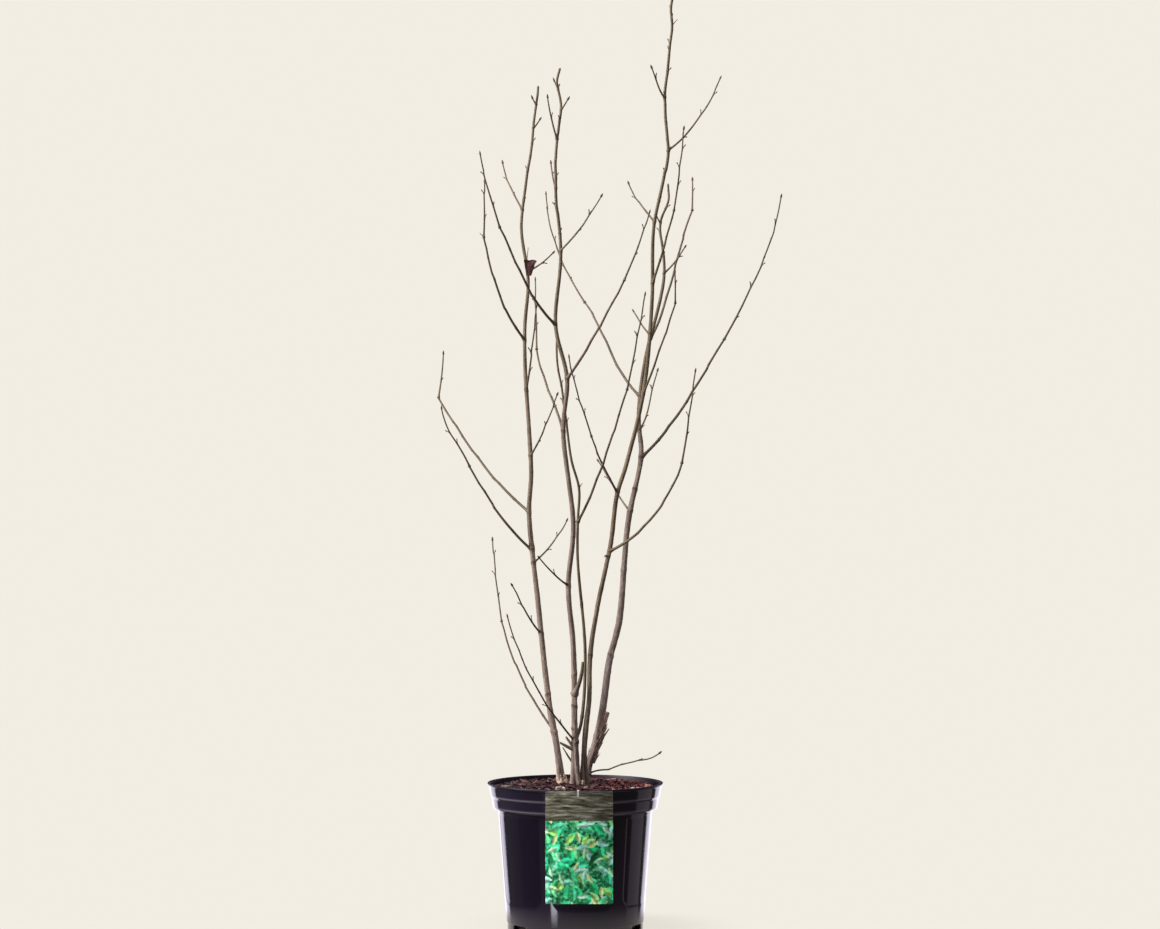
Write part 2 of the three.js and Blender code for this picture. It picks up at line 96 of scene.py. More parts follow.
def newMaterial(name, follows=None):
    # besides the material: what adds its nodes, its shader, and the place on the object that its patterns
    # keep to, or one of the mesh's own attributes that they follow
    material = bpy.data.materials.new(name)
    material.use_nodes = True
    add = functools.partial(addNode, material.node_tree)
    if follows:
        place = add("Attribute", {}, attribute_name=follows).outputs["Vector"]
    else:
        place = add("TexCoord", {}).outputs["Object"]
    return material, add, material.node_tree.nodes["Principled BSDF"], place


def newObject(name, data):
    thing = bpy.data.objects.new(name, data)
    bpy.context.scene.collection.objects.link(thing)
    return thing


def finishMesh(bm, name, sharpFrom=180):
    for face in bm.faces:
        face.smooth = True
    for edge in bm.edges:
        if len(edge.link_faces) == 2:
            edge.smooth = edge.calc_face_angle(0) < math.radians(sharpFrom)
    mesh = bpy.data.meshes.new(name)
    bm.to_mesh(mesh)
    bm.free()
    return mesh


def addPiece(name, bm, material, replaced=(), sharpFrom=180):
    piece = newObject(name, finishMesh(bm, name, sharpFrom))
    piece.data.materials.append(material)
    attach(piece, "root")
    if replaced:
        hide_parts(*replaced)
    return piece


def drawLine(bm, points):
    verts = [bm.verts.new([measure * mm for measure in point]) for point in points]
    for a, b in zip(verts, verts[1:]):
        bm.edges.new((a, b))
    return verts


def roundOff(bm, parts, affect, offset, segments):
    bmesh.ops.bevel(
        bm, geom=parts, affect=affect, offset=offset * mm, segments=segments, profile=0.5, material=-1,
    )


def spinRound(bm, segments):
    # a full turn about the pot's axis, closed where the profile meets it
    bmesh.ops.spin(
        bm, geom=bm.verts[:] + bm.edges[:], cent=(0, 0, 0), axis=(0, 0, 1), angle=2 * math.pi,
        steps=segments, use_merge=True,
    )
    small = 1e-5
    onAxis = [vert for vert in bm.verts if math.hypot(vert.co.x, vert.co.y) < small]
    bmesh.ops.remove_doubles(bm, verts=onAxis, dist=small)
    bmesh.ops.recalc_face_normals(bm, faces=bm.faces[:])


def thicken(bm, thickness):
    bmesh.ops.recalc_face_normals(bm, faces=bm.faces[:])
    bmesh.ops.solidify(bm, geom=bm.faces[:], thickness=thickness * mm)
    bmesh.ops.recalc_face_normals(bm, faces=bm.faces[:])


def pasteMesh(bm, mesh):
    start = len(bm.verts)
    bm.from_mesh(mesh)
    bm.verts.ensure_lookup_table()
    return bm.verts[start:]


def smooth(low, high, value):
    share = min(max((value - low) / (high - low), 0), 1)
    return share * share * (3 - 2 * share)


# Camera, floor and studio light

cameraView = {"place": (7.6, -5424, 740), "lens": 105.5, "sensorWidth": 36}
studio = {
    "backdrop": "#f2ede3",
    "fill": ("#fff0e6", 0.095),
    "floorRadius": 310,
    "fadeFrom": 120,
    # the floor's own colour, and the share of the backdrop's light that it gives off to soften shadows
    "floor": ("#6a6864", 0.82),
    # each softbox: place, point it faces, width and height, brightness, colour
    "softboxes": {
        "key": ((-2400, -700, 1600), (0, 0, 800), (800, 1900), 22, "#fff8f4"),
        "strip": ((-1820, -2630, -915), (0, 0, 0), (560, 400), 11, "#f4f2ff"),
        "side": ((2300, 500, 900), (0, 0, 700), (500, 1400), 0.25, "#f4f0ff"),
        "low right": ((2450, 900, -700), (0, 0, 100), (1500, 900), 0.43, "#f0e0f8"),
        "low left": ((-2450, 900, -700), (0, 0, 100), (1500, 900), 0.06, "#e9e9ff"),
        "front": ((0, -2600, 2200), (0, 0, 300), (2200, 900), 0.9, "#ffffff"),
        "back": ((0, 2600, -350), (0, 0, -350), (4700, 1500), 2.35, "#f1eaff"),
        "top": ((0, -300, 3000), (0, 0, 0), (2400, 2400), 2.6, "#ffffff"),
    },
}


def addCamera():
    camera = bpy.data.cameras.new("camera")
    camera.lens = cameraView["lens"]
    camera.sensor_width = cameraView["sensorWidth"]
    holder = newObject("camera", camera)
    holder.location = Vector(cameraView["place"]) * mm
    holder.rotation_euler = (math.pi / 2, 0, 0)
    bpy.context.scene.camera = holder


def addSoftbox(name, place, target, size, brightness, colour):
    light = bpy.data.lights.new(name, "AREA")
    light.shape = "RECTANGLE"
    light.size, light.size_y = [side * mm for side in size]
    light.energy = brightness * math.pi * light.size * light.size_y
    light.color = linearColour(colour)[:3]
    holder = newObject(name, light)
    holder.location = Vector(place) * mm
    holder.rotation_euler = (Vector(target) - Vector(place)).to_track_quat("-Z", "Y").to_euler()


def paintWorld():
    world = bpy.data.worlds.new("studio")
    world.use_nodes = True
    world.node_tree.nodes.clear()
    add = functools.partial(addNode, world.node_tree)
    tint, strength = studio["fill"]
    mixed = add("MixShader", {
        0: add("LightPath", {}).outputs["Is Camera Ray"],
        1: add("Background", {"Color": tint, "Strength": strength}),
        2: add("Background", {"Color": studio["backdrop"], "Strength": 1}),
    })
    add("OutputWorld", {"Surface": mixed})
    bpy.context.scene.world = world


def addFloor():
    material, add, shader, place = newMaterial("matt paper floor")
    distance = add("VectorMath", {0: place}, operation="LENGTH")
    fade = add("MapRange", {
        "Value": distance, "From Min": studio["floorRadius"] * mm, "From Max": studio["fadeFrom"] * mm,
    }, interpolation_type="SMOOTHERSTEP")
    colour, glow = studio["floor"]
    setInputs(shader, {
        "Base Color": colour, "Roughness": 1, "Alpha": fade, "Specular IOR Level": 0,
        "Emission Color": studio["backdrop"], "Emission Strength": glow,
    })
    bm = bmesh.new()
    bmesh.ops.create_circle(bm, cap_ends=True, segments=96, radius=studio["floorRadius"] * mm)
    floor = newObject("floor", finishMesh(bm, "floor"))
    floor.data.materials.append(material)


addCamera()
paintWorld()
addFloor()
for softboxName, softbox in studio["softboxes"].items():
    addSoftbox(softboxName, *softbox)
bpy.context.scene.view_settings.view_transform = "Standard"
print("studio ready")


# The pot: injection-moulded black polypropylene

potSize = {
    "outside": [
        (108, 0), (108, 12), (109.2, 12), (123, 190.6), (129.5, 192.2), (131, 194.4), (132.9, 209.6),
        (135, 212.6), (137.8, 229.5), (140, 229.5), (140, 233),
    ],
    "inside": [
        (135.2, 233), (132.4, 208.5), (130.4, 206), (128.4, 193.6), (120.4, 190.6), (105.4, 12), (105.4, 3),
    ],
    "corner": 0.6,
    # above this height the lip is rubbed dull, and along these edges a pale painted highlight is laid over a
    # width
    "wornFrom": 230.5,
    "highlightEdges": [195.2, 213.2],
    "highlightWidth": 1.2,
    # walls out from this radius and longer than this are cut into steps, for the panels to shape
    "walls": (109, 10),
    "step": 2.2,
    "segments": 480,
}
potPanel = {
    "count": 6, "offset": 7, "width": 53, "bottom": 41, "top": 188, "corner": 20, "recess": 0.55, "soft": 5,
}
potNotch = {"offset": 5, "width": 36, "height": 12, "depth": 14, "corner": 5}
potMarks = ("recess", "worn", "edgeHighlight")


def polypropylene():
    # moulded in a polished tool: a clear gloss with faint flow lines, dulled by dust and rubbed at the lip,
    # with painted highlights as pale lines along two rim edges
    material, add, shader, place = newMaterial("moulded black polypropylene")
    recess, worn, edgeHighlight = [
        add("Attribute", {}, attribute_name=mark).outputs["Fac"] for mark in potMarks
    ]
    dust = add("TexNoise", {"Vector": place, "Scale": 1 / 0.035, "Detail": 6, "Roughness": 0.62})
    upright = add("Mapping", {"Vector": place, "Scale": (1, 1, 0.05)})
    streaks = add("TexNoise", {"Vector": upright, "Scale": 1 / 0.0024, "Detail": 3})
    peel = add("TexNoise", {"Vector": place, "Scale": 1 / 0.0016, "Detail": 2})
    # the recessed panels take the darker tones and the raised wall the paler ones, each varied by the dust
    # noise
    panelTone = add("Mix", {"Factor": streaks, 6: "#100c1a", 7: "#181424"}, data_type="RGBA")
    raisedTone = add("Mix", {"Factor": dust, 6: "#191323", 7: "#272033"}, data_type="RGBA")
    colour = add("Mix", {"Factor": recess, 6: raisedTone, 7: panelTone}, data_type="RGBA")
    # painted highlight: a pale line along each of two rim edges
    highlighted = add("Mix", {"Factor": edgeHighlight, 6: colour, 7: "#706a7a"}, data_type="RGBA")
    dull = add("MapRange", {"Value": dust, "From Min": 0.35, "From Max": 0.7, "To Min": 0.07, "To Max": 0.16})
    rubbed = add("Mix", {"Factor": worn, 2: dull, 3: 0.5})
    bump = add("Bump", {"Strength": 0.02, "Distance": 0.1 * mm, "Height": peel})
    setInputs(shader, {"Base Color": highlighted, "Roughness": rubbed, "IOR": 1.49, "Normal": bump})
    return material


def panelDepth(point):
    # how far a point of the wall, in millimetres, is drawn in by the panel that it lies in
    size = potPanel
    pitch = 360 / size["count"]
    turn = math.degrees(math.atan2(point.y, point.x)) + 90 - size["offset"]
    turn = (turn + pitch / 2) % pitch - pitch / 2
    radius = math.hypot(point.x, point.y)
    middle = (size["bottom"] + size["top"]) / 2
    corner = size["corner"] if point.z < middle else size["soft"]
    across = abs(math.radians(turn)) * radius - math.radians(size["width"] / 2) * radius + corner
    along = abs(point.z - middle) - (size["top"] - size["bottom"]) / 2 + corner
    outside = math.hypot(max(across, 0), max(along, 0)) + min(max(across, along), 0) - corner
    return size["recess"] * smooth(0, size["soft"], -outside)


def notchCutters():
    size = potNotch
    bm = bmesh.new()
    for i in range(potPanel["count"]):
        turn = math.radians(i * 360 / potPanel["count"] - 90 + size["offset"])
        place = Matrix.Rotation(turn, 4, "Z") @ Matrix.Translation((potSize["outside"][0][0] * mm, 0, 0))
        shape = Matrix.Diagonal((size["depth"] * mm, size["width"] * mm, 2 * size["height"] * mm, 1))
        block = bmesh.ops.create_cube(bm, size=1, matrix=place @ shape)["verts"]
        bm.normal_update()
        out = place.to_3x3() @ Vector((1, 0, 0))
        radial = []
        for edge in {edge for vert in block for edge in vert.link_edges}:
            a, b = [vert.co for vert in edge.verts]
            if abs((b - a).normalized().dot(out)) > 0.9 and a.z > 0:
                radial.append(edge)
        roundOff(bm, radial, "EDGES", size["corner"], 6)
    return finishMesh(bm, "notches")


def makePot():
    size = potSize
    bm = bmesh.new()
    profile = [(0, 0), *size["outside"], *size["inside"], (0, size["inside"][-1][1])]
    points = drawLine(bm, [(radius, 0, height) for radius, height in profile])
    roundOff(bm, points[1:-1], "VERTICES", size["corner"], 3)
    least, longest = [measure * mm for measure in size["walls"]]
    for wall in bm.edges[:]:
        length = wall.calc_length()
        if min(vert.co.x for vert in wall.verts) > least and length > longest:
            bmesh.ops.subdivide_edges(bm, edges=[wall], cuts=round(length / (size["step"] * mm)) - 1)
    spinRound(bm, size["segments"])
    recess, worn, edgeHighlight = [bm.verts.layers.float.new(mark) for mark in potMarks]
    bm.normal_update()
    for vert in bm.verts:
        outward = Vector((vert.co.x, vert.co.y, 0))
        if vert.co.z > size["wornFrom"] * mm or vert.normal.dot(outward) < 0:
            vert[worn] = 1
            continue
        depth = panelDepth(vert.co / mm)
        # painted highlight: a pale band along two rim edges, where their rounding would catch the light
        near = min(abs(vert.co.z / mm - edge) for edge in size["highlightEdges"])
        vert[recess] = depth / potPanel["recess"]
        vert[edgeHighlight] = math.exp(-(near / size["highlightWidth"]) ** 2)
        vert.co -= outward.normalized() * depth * mm
    piece = addPiece("nursery_pot", bm, polypropylene(), ["pot"], sharpFrom=40)
    cutter = newObject("notches", notchCutters())
    cut = piece.modifiers.new("drain notches", "BOOLEAN")
    cut.operation, cut.solver, cut.object = "DIFFERENCE", "MANIFOLD", cutter
    whole = piece.evaluated_get(bpy.context.evaluated_depsgraph_get())
    piece.data = bpy.data.meshes.new_from_object(whole)
    piece.modifiers.clear()
    bpy.data.objects.remove(cutter)
    print("pot", len(piece.data.polygons), "faces")


makePot()


# The soil: composted bark with loose chips on top

soilSize = {
    "profile": [
        (0, 3.3), (97.95, 3.3), (104.95, 24), (119.95, 191.05), (127.95, 194.05), (129.95, 206),
        (131.95, 208.5), (131.95, 223),
    ],
    # the mound is this wide on top, and falls to the edge by this power; then how rough and how lumpy
    "edge": 223, "middle": 229, "mound": 96, "slope": 1.2, "rough": 1.3, "lump": 9, "step": 2.6,
    "segments": 260,
}
chipMix = {
    "seed": 11,
    "reach": 130,
    # the shapes that all chips are copied from: how many, and how bevelled, uneven and curled
    "shapes": 9, "edge": (0.16, 0.3), "wobble": 0.13, "curl": 0.35,
    # how far they tip, in radians, how high they are heaped, and how dark or pale their colours are made
    "tilt": (0.35, 0.25), "heap": 2.2, "shade": (0.6, 1.35),
    # how much redder or darker the chips are towards each side, and damp round the stems
    "left": (0.62, 0.58, 0.9, 1),
    "right": (2.2, 1.16, 1.75, 1),
    "damp": (30, 80, 0.5),
    # single pale chips: place, size and colour; the pink one at (116, -48) is a painted highlight, put where
    # the lip's edge catches the light
    "pale": [
        ((-27, -104, 232.5), (10, 5, 6), "#dcc3b2"), ((-19, -101, 232), (8, 5, 6), "#f0e2d6"),
        ((-24, -96, 232.5), (7, 5, 6), "#cfa98c"), ((-107, -70, 231.5), (13, 4, 6), "#8d7a72"),
        # the pink chip at the end of this line is a painted highlight
        ((-113, -58, 230.5), (9, 4, 6), "#7a6660"), ((116, -48, 231), (12, 4, 6), "#d79c92"),
        ((91, -87, 231), (7, 3, 5), "#eadbd0"), ((17, -70, 231), (7, 3, 4), "#c7a991"),
    ],
    # each kind: how many, length, width and thickness from and to, and its colours
    "kinds": [
        (620, (5, 13), (3, 6), (1.2, 2.6), ["#2b1c17", "#3a241b", "#4a2f24", "#1d1311", "#553a2d"]),
        (300, (4, 10), (2.5, 5), (1, 2.2), ["#5a3a40", "#4d2f3a", "#6b4a55", "#43282c"]),
        (150, (8, 20), (1, 2.2), (0.7, 1.4), ["#7a5f50", "#8b6f60", "#4a342b", "#a08672"]),
        (46, (9, 19), (4, 8), (1.6, 3), ["#6a4d3e", "#8a6a58", "#7b5a5c", "#94786a"]),
        (700, (1.4, 3.4), (1, 2.4), (0.8, 1.6), ["#241713", "#382219", "#56392c", "#6c4c42"]),
    ],
}


def soilHeight(radius):
    size = soilSize
    flat = size["mound"] / 2
    share = min(max((radius - flat) / (potSize["inside"][0][0] - flat), 0), 1)
    return size["middle"] - (size["middle"] - size["edge"]) * share ** size["slope"]


def barkSoil():
    # composted bark: near black where damp, brown where it has dried, crumbly and without gloss
    material, add, shader, place = newMaterial("composted bark soil")
    crumbs = add("TexNoise", {"Vector": place, "Scale": 1 / 0.004, "Detail": 8, "Roughness": 0.7})
    damp = add("TexNoise", {"Vector": place, "Scale": 1 / 0.05, "Detail": 3})
    colour = add("ValToRGB", {"Fac": crumbs}, [
        (0.3, "#0f0a09"), (0.5, "#291a15"), (0.75, "#4a3128"),
    ])
    damped = add("Mix", {"Factor": damp, 6: colour, 7: "#6b5a5a"}, data_type="RGBA", blend_type="MULTIPLY")
    bump = add("Bump", {"Strength": 0.8, "Distance": 1.2 * mm, "Height": crumbs})
    setInputs(shader, {"Base Color": damped, "Roughness": 0.92, "Normal": bump})
    return material


def barkChip():
    # broken pine bark: each chip has its own tint, with the layers of the bark as fine stripes
    material, add, shader, place = newMaterial("broken bark chips")
    tint = add("Attribute", {}, attribute_name="tint")
    grain = add("TexNoise", {"Vector": place, "Scale": 1 / 0.0013, "Detail": 4, "Roughness": 0.7})
    shade = add("MapRange", {
        "Value": grain, "From Min": 0.25, "From Max": 0.75, "To Min": 0.45, "To Max": 1.35,
    })
    colour = add("VectorMath", {0: tint, "Scale": shade}, operation="SCALE")
    bump = add("Bump", {"Strength": 0.6, "Distance": 0.4 * mm, "Height": grain})
    setInputs(shader, {"Base Color": colour, "Roughness": 0.62, "Normal": bump})
    return material


def makeSoil():
    size = soilSize
    rim = size["profile"][-1][0]
    rings = round(rim / size["step"])
    radii = [rim * (1 - i / rings) for i in range(1, rings + 1)]
    profile = size["profile"] + [(radius, soilHeight(radius)) for radius in radii]
    bm = bmesh.new()
    drawLine(bm, [(radius, 0, height) for radius, height in profile])
    spinRound(bm, size["segments"])
    for vert in bm.verts:
        if vert.co.z > (size["edge"] - 1) * mm:
            vert.co.z += size["rough"] * noise.fractal(vert.co / (size["lump"] * mm), 0.7, 2, 4) * mm
    addPiece("bark_soil", bm, barkSoil(), ["soil"])


def chipShape(dice):
    # one broken chip, a millimetre each way before it is sized
    bm = bmesh.new()
    bmesh.ops.create_cube(bm, size=mm)
    roundOff(bm, bm.edges[:], "EDGES", dice.uniform(*chipMix["edge"]), 1)
    wobble = chipMix["wobble"]
    for vert in bm.verts:
        vert.co += Vector([dice.uniform(-wobble, wobble) for _ in range(3)]) * mm
        vert.co.z += chipMix["curl"] * vert.co.x * vert.co.x / mm
    return finishMesh(bm, "chip")


def placeChip(bm, shape, size, centre, turn, colour):
    for vert in pasteMesh(bm, shape):
        spot = centre * mm + turn @ (vert.co * size)
        inward = min(1, chipMix["reach"] * mm / math.hypot(spot.x, spot.y))
        vert.co = (spot.x * inward, spot.y * inward, spot.z)
        vert[bm.verts.layers.float_color["tint"]] = colour


def makeChips():
    dice = random.Random(chipMix["seed"])
    shapes = [chipShape(dice) for _ in range(chipMix["shapes"])]
    reach = chipMix["reach"]
    rolled, pitched = chipMix["tilt"]
    dampFrom, dampTo, damp = chipMix["damp"]
    bm = bmesh.new()
    bm.verts.layers.float_color.new("tint")
    for count, lengths, widths, depths, colours in chipMix["kinds"]:
        for _ in range(count):
            size = Vector((dice.uniform(*lengths), dice.uniform(*widths), dice.uniform(*depths)))
            radius = (reach - size.x / 3) * math.sqrt(dice.random())
            spin = Quaternion(up, dice.uniform(0, 2 * math.pi))
            lie = Quaternion((1, 0, 0), dice.gauss(0, rolled)) @ Quaternion((0, 1, 0), dice.gauss(0, pitched))
            centre = spin @ Vector((radius, 0, 0))
            centre.z = soilHeight(radius) + dice.uniform(0.1, 1) * size.z + dice.uniform(0, chipMix["heap"])
            turn = Quaternion(up, dice.uniform(0, 2 * math.pi)) @ lie
            # the chips are tinted darker towards the left and redder and paler towards the right
            sideTint = Vector(chipMix["left"]).lerp(Vector(chipMix["right"]), 0.5 + centre.x / (2 * reach))
            dry = damp + (1 - damp) * smooth(dampFrom, dampTo, radius)
            own = Vector(linearColour(dice.choice(colours))) * dice.uniform(*chipMix["shade"])
            placeChip(bm, dice.choice(shapes), size, centre, turn, own * dry * sideTint)
    for place, size, colour in chipMix["pale"]:
        turn = Quaternion(up, dice.uniform(-0.5, 0.5))
        placeChip(bm, dice.choice(shapes), Vector(size), Vector(place), turn, linearColour(colour))
    piece = addPiece("bark_chips", bm, barkChip(), sharpFrom=35)
    print("soil", len(piece.data.polygons), "faces of chips")


makeSoil()
makeChips()


# The picture card and its strap

cardSize = {
    "width": 105, "height": 175, "thickness": 0.8, "corner": 2, "edge": 0.12, "top": 232, "middle": 6.4,
    "front": -141.1, "heading": 46,
}
cardPrint = {
    # each layer of printed leaves: cell, half length and half width of a leaf, turn, and its greens
    "layers": [
        (27, 14, 7, 0.4, ["#12b468", "#1fe08a", "#4bf0a6", "#0c7040"]),
        (23, 12, 5.6, 2.1, ["#16e689", "#48ffbc", "#7dffa4", "#c2ff66"]),
        (25, 12.5, 5.4, 4.0, ["#86ffe0", "#baffec", "#26ebaa", "#d9ff9c"]),
        (26, 10, 4, 5.3, ["#c8fff0", "#e2ffa8", "#94ffda", "#cdffbe"]),
    ],
    # how soft the edges are, and the height of one board
    "soft": 1.2, "board": 9.4,
}
cardStrap = {
    # it hangs down before the card and behind the lip, and is bent over above the lip
    "width": 3, "thickness": 0.7, "overlap": 9, "before": 0.05, "above": 0.3, "bend": 1.6, "reach": 7.6,
    "foot": 226, "middle": 4.6,
}


def printedCard():
    # offset print on card under a satin varnish: leaves in many greens below a heading of weathered boards
    material, add, shader, place = newMaterial("printed card with satin varnish")
    axes = add("SeparateXYZ", {"Vector": place}).outputs
    flat = add("CombineXYZ", {"X": axes["X"], "Y": axes["Z"]})
    blur = add("TexNoise", {"Vector": flat, "Scale": 1 / 0.006, "Detail": 5, "Roughness": 0.6})
    picture = add("ValToRGB", {"Fac": blur}, [
        (0.35, "#08301a"), (0.46, "#128a56"), (0.56, "#40da92"), (0.68, "#b4ffd2"),
    ])
    mottle = add("MapRange", {
        "Value": blur, "From Min": 0.38, "From Max": 0.62, "To Min": 0.62, "To Max": 1.55,
    })
    soft = cardPrint["soft"] * mm
    for cell, length, width, turn, greens in cardPrint["layers"]:
        laid = add("Mapping", {"Vector": flat, "Location": (turn, turn / 3, 0), "Rotation": (0, 0, turn)})
        cells = add("TexVoronoi", {
            "Vector": laid, "Scale": 1 / (cell * mm), "Randomness": 0.75,
        }, voronoi_dimensions="2D").outputs
        apart = add("VectorMath", {0: laid, 1: cells["Position"]}, operation="SUBTRACT")
        dice = add("SeparateColor", {"Color": cells["Color"]}).outputs
        angle = add("Math", {0: dice["Red"], 1: 2 * math.pi}, operation="MULTIPLY")
        own = add("VectorRotate", {"Vector": apart, "Angle": angle}, rotation_type="Z_AXIS")
        leaf = add("SeparateXYZ", {"Vector": own}).outputs
        along = add("Math", {0: leaf["Y"], 1: length * mm}, operation="DIVIDE")
        bow = add("Math", {0: along, 1: along}, operation="MULTIPLY")
        reach = add("Math", {0: bow, 1: -width * mm, 2: width * mm}, operation="MULTIPLY_ADD")
        side = add("Math", {0: leaf["X"]}, operation="ABSOLUTE")
        inside = add("Math", {0: reach, 1: side}, operation="SUBTRACT")
        shape = add("MapRange", {"Value": inside, "From Max": soft})
        tone = add("ValToRGB", {"Fac": dice["Green"]}, [
            (i / (len(greens) - 1), green) for i, green in enumerate(greens)
        ])
        half = add("MapRange", {
            "Value": leaf["X"], "From Min": -soft, "From Max": soft, "To Min": 0.62, "To Max": 1.6,
        })
        slant = add("Math", {0: leaf["Y"], 1: side}, operation="SUBTRACT")
        ribs = add("Math", {0: slant, 1: 0.9 * mm}, operation="PINGPONG")
        shade = add("MapRange", {"Value": ribs, "From Max": 0.35 * mm, "To Min": 1.22})
        for share in (half, mottle):
            shade = add("Math", {0: share, 1: shade}, operation="MULTIPLY")
        shaded = add("VectorMath", {0: tone, "Scale": shade}, operation="SCALE")
        picture = add("Mix", {"Factor": shape, 6: picture, 7: shaded}, data_type="RGBA")
    grainy = add("Mapping", {"Vector": flat, "Scale": (1 / 0.035, 1 / 0.0042, 1)})
    grain = add("TexNoise", {
        "Vector": grainy, "Scale": 1, "Detail": 6, "Roughness": 0.72, "Distortion": 0.4,
    })
    boards = add("ValToRGB", {"Fac": grain}, [
        (0.36, "#1f1e14"), (0.46, "#5d5c4b"), (0.55, "#8e8d7d"), (0.66, "#d0cec0"),
    ])
    seam = add("Math", {0: axes["Z"], 1: cardPrint["board"] * mm}, operation="PINGPONG")
    seamed = add("MapRange", {"Value": seam, "From Min": 0.1 * mm, "From Max": 0.6 * mm, "To Min": 0.35})
    boarded = add("VectorMath", {0: boards, "Scale": seamed}, operation="SCALE")
    edge = (cardSize["top"] - cardSize["heading"]) * mm
    heading = add("MapRange", {
        "Value": axes["Z"], "From Min": edge - 0.2 * mm, "From Max": edge + 0.2 * mm,
    })
    colour = add("Mix", {"Factor": heading, 6: picture, 7: boarded}, data_type="RGBA")
    setInputs(shader, {
        "Base Color": colour, "Roughness": 0.42, "IOR": 1.5, "Coat Weight": 0.15, "Coat Roughness": 0.3,
    })
    return material


def strapPlastic():
    # a die-cut strip of clear polyester, milky and glossy, so that it shows as a pale line
    material, add, shader, place = newMaterial("milky polyester strap")
    haze = add("TexNoise", {"Vector": place, "Scale": 1 / 0.003, "Detail": 3})
    colour = add("Mix", {"Factor": haze, 6: "#c9c8c2", 7: "#e8e7e3"}, data_type="RGBA")
    setInputs(shader, {"Base Color": colour, "Roughness": 0.25, "IOR": 1.57})
    return material


def makeCard():
    size = cardSize
    bm = bmesh.new()
    middle = Vector((
        size["middle"], size["front"] + size["thickness"] / 2, size["top"] - size["height"] / 2,
    ))
    shape = Matrix.Diagonal((size["width"] * mm, size["thickness"] * mm, size["height"] * mm, 1))
    bmesh.ops.create_cube(bm, size=1, matrix=Matrix.Translation(middle * mm) @ shape)
    corners = [edge for edge in bm.edges if edge.calc_length() < 2 * size["thickness"] * mm]
    roundOff(bm, corners, "EDGES", size["corner"], 6)
    rims = [edge for edge in bm.edges if edge.calc_face_angle(0) > 1.2]
    roundOff(bm, rims, "EDGES", size["edge"], 2)
    addPiece("picture_card", bm, printedCard(), ["label_card"], sharpFrom=50)

    strap = cardStrap
    bm = bmesh.new()
    over = potSize["outside"][-1][1] + strap["above"] + strap["thickness"] / 2
    front = size["front"] - strap["thickness"] / 2 - strap["before"]
    back = -potSize["outside"][-1][0] + strap["reach"]
    route = [(front, size["top"] - strap["overlap"]), (front, over), (back, over), (back, strap["foot"])]
    points = drawLine(bm, [(strap["middle"], y, z) for y, z in route])
    roundOff(bm, points[1:-1], "VERTICES", strap["bend"], 5)
    drawn = bm.verts[:]
    bmesh.ops.extrude_edge_only(bm, edges=bm.edges[:])
    for vert in bm.verts:
        vert.co.x += strap["width"] / 2 * mm * (-1 if vert in drawn else 1)
    thicken(bm, strap["thickness"])
    addPiece("card_strap", bm, strapPlastic(), sharpFrom=50)
    print("card hung")


makeCard()


# How the plant grows. Thicknesses are diameters, and lean and turn are degrees from the vertical.

growth = {
    "gap": 0.3, "taper": 1.15, "flareHeight": 26, "ground": 229.3, "boughEnd": 0.68, "twigTip": 1.7,
    # buds: how far apart, how scattered and how turned, and their spurs' lean, lengths and thicknesses
    "spacing": 46, "scatter": 0.5, "goldenAngle": 137.5, "lean": 32, "shortest": 5, "longest": 9,
    "spurFoot": 1.4, "spurTip": 0.9,
    # a spur's tip is kept clear of other limbs, which are probed so often; and the rule for chance
    "clear": 2, "probe": 4, "seed": 7, "wave": (12.9898, 78.233, 43758.5453),
}
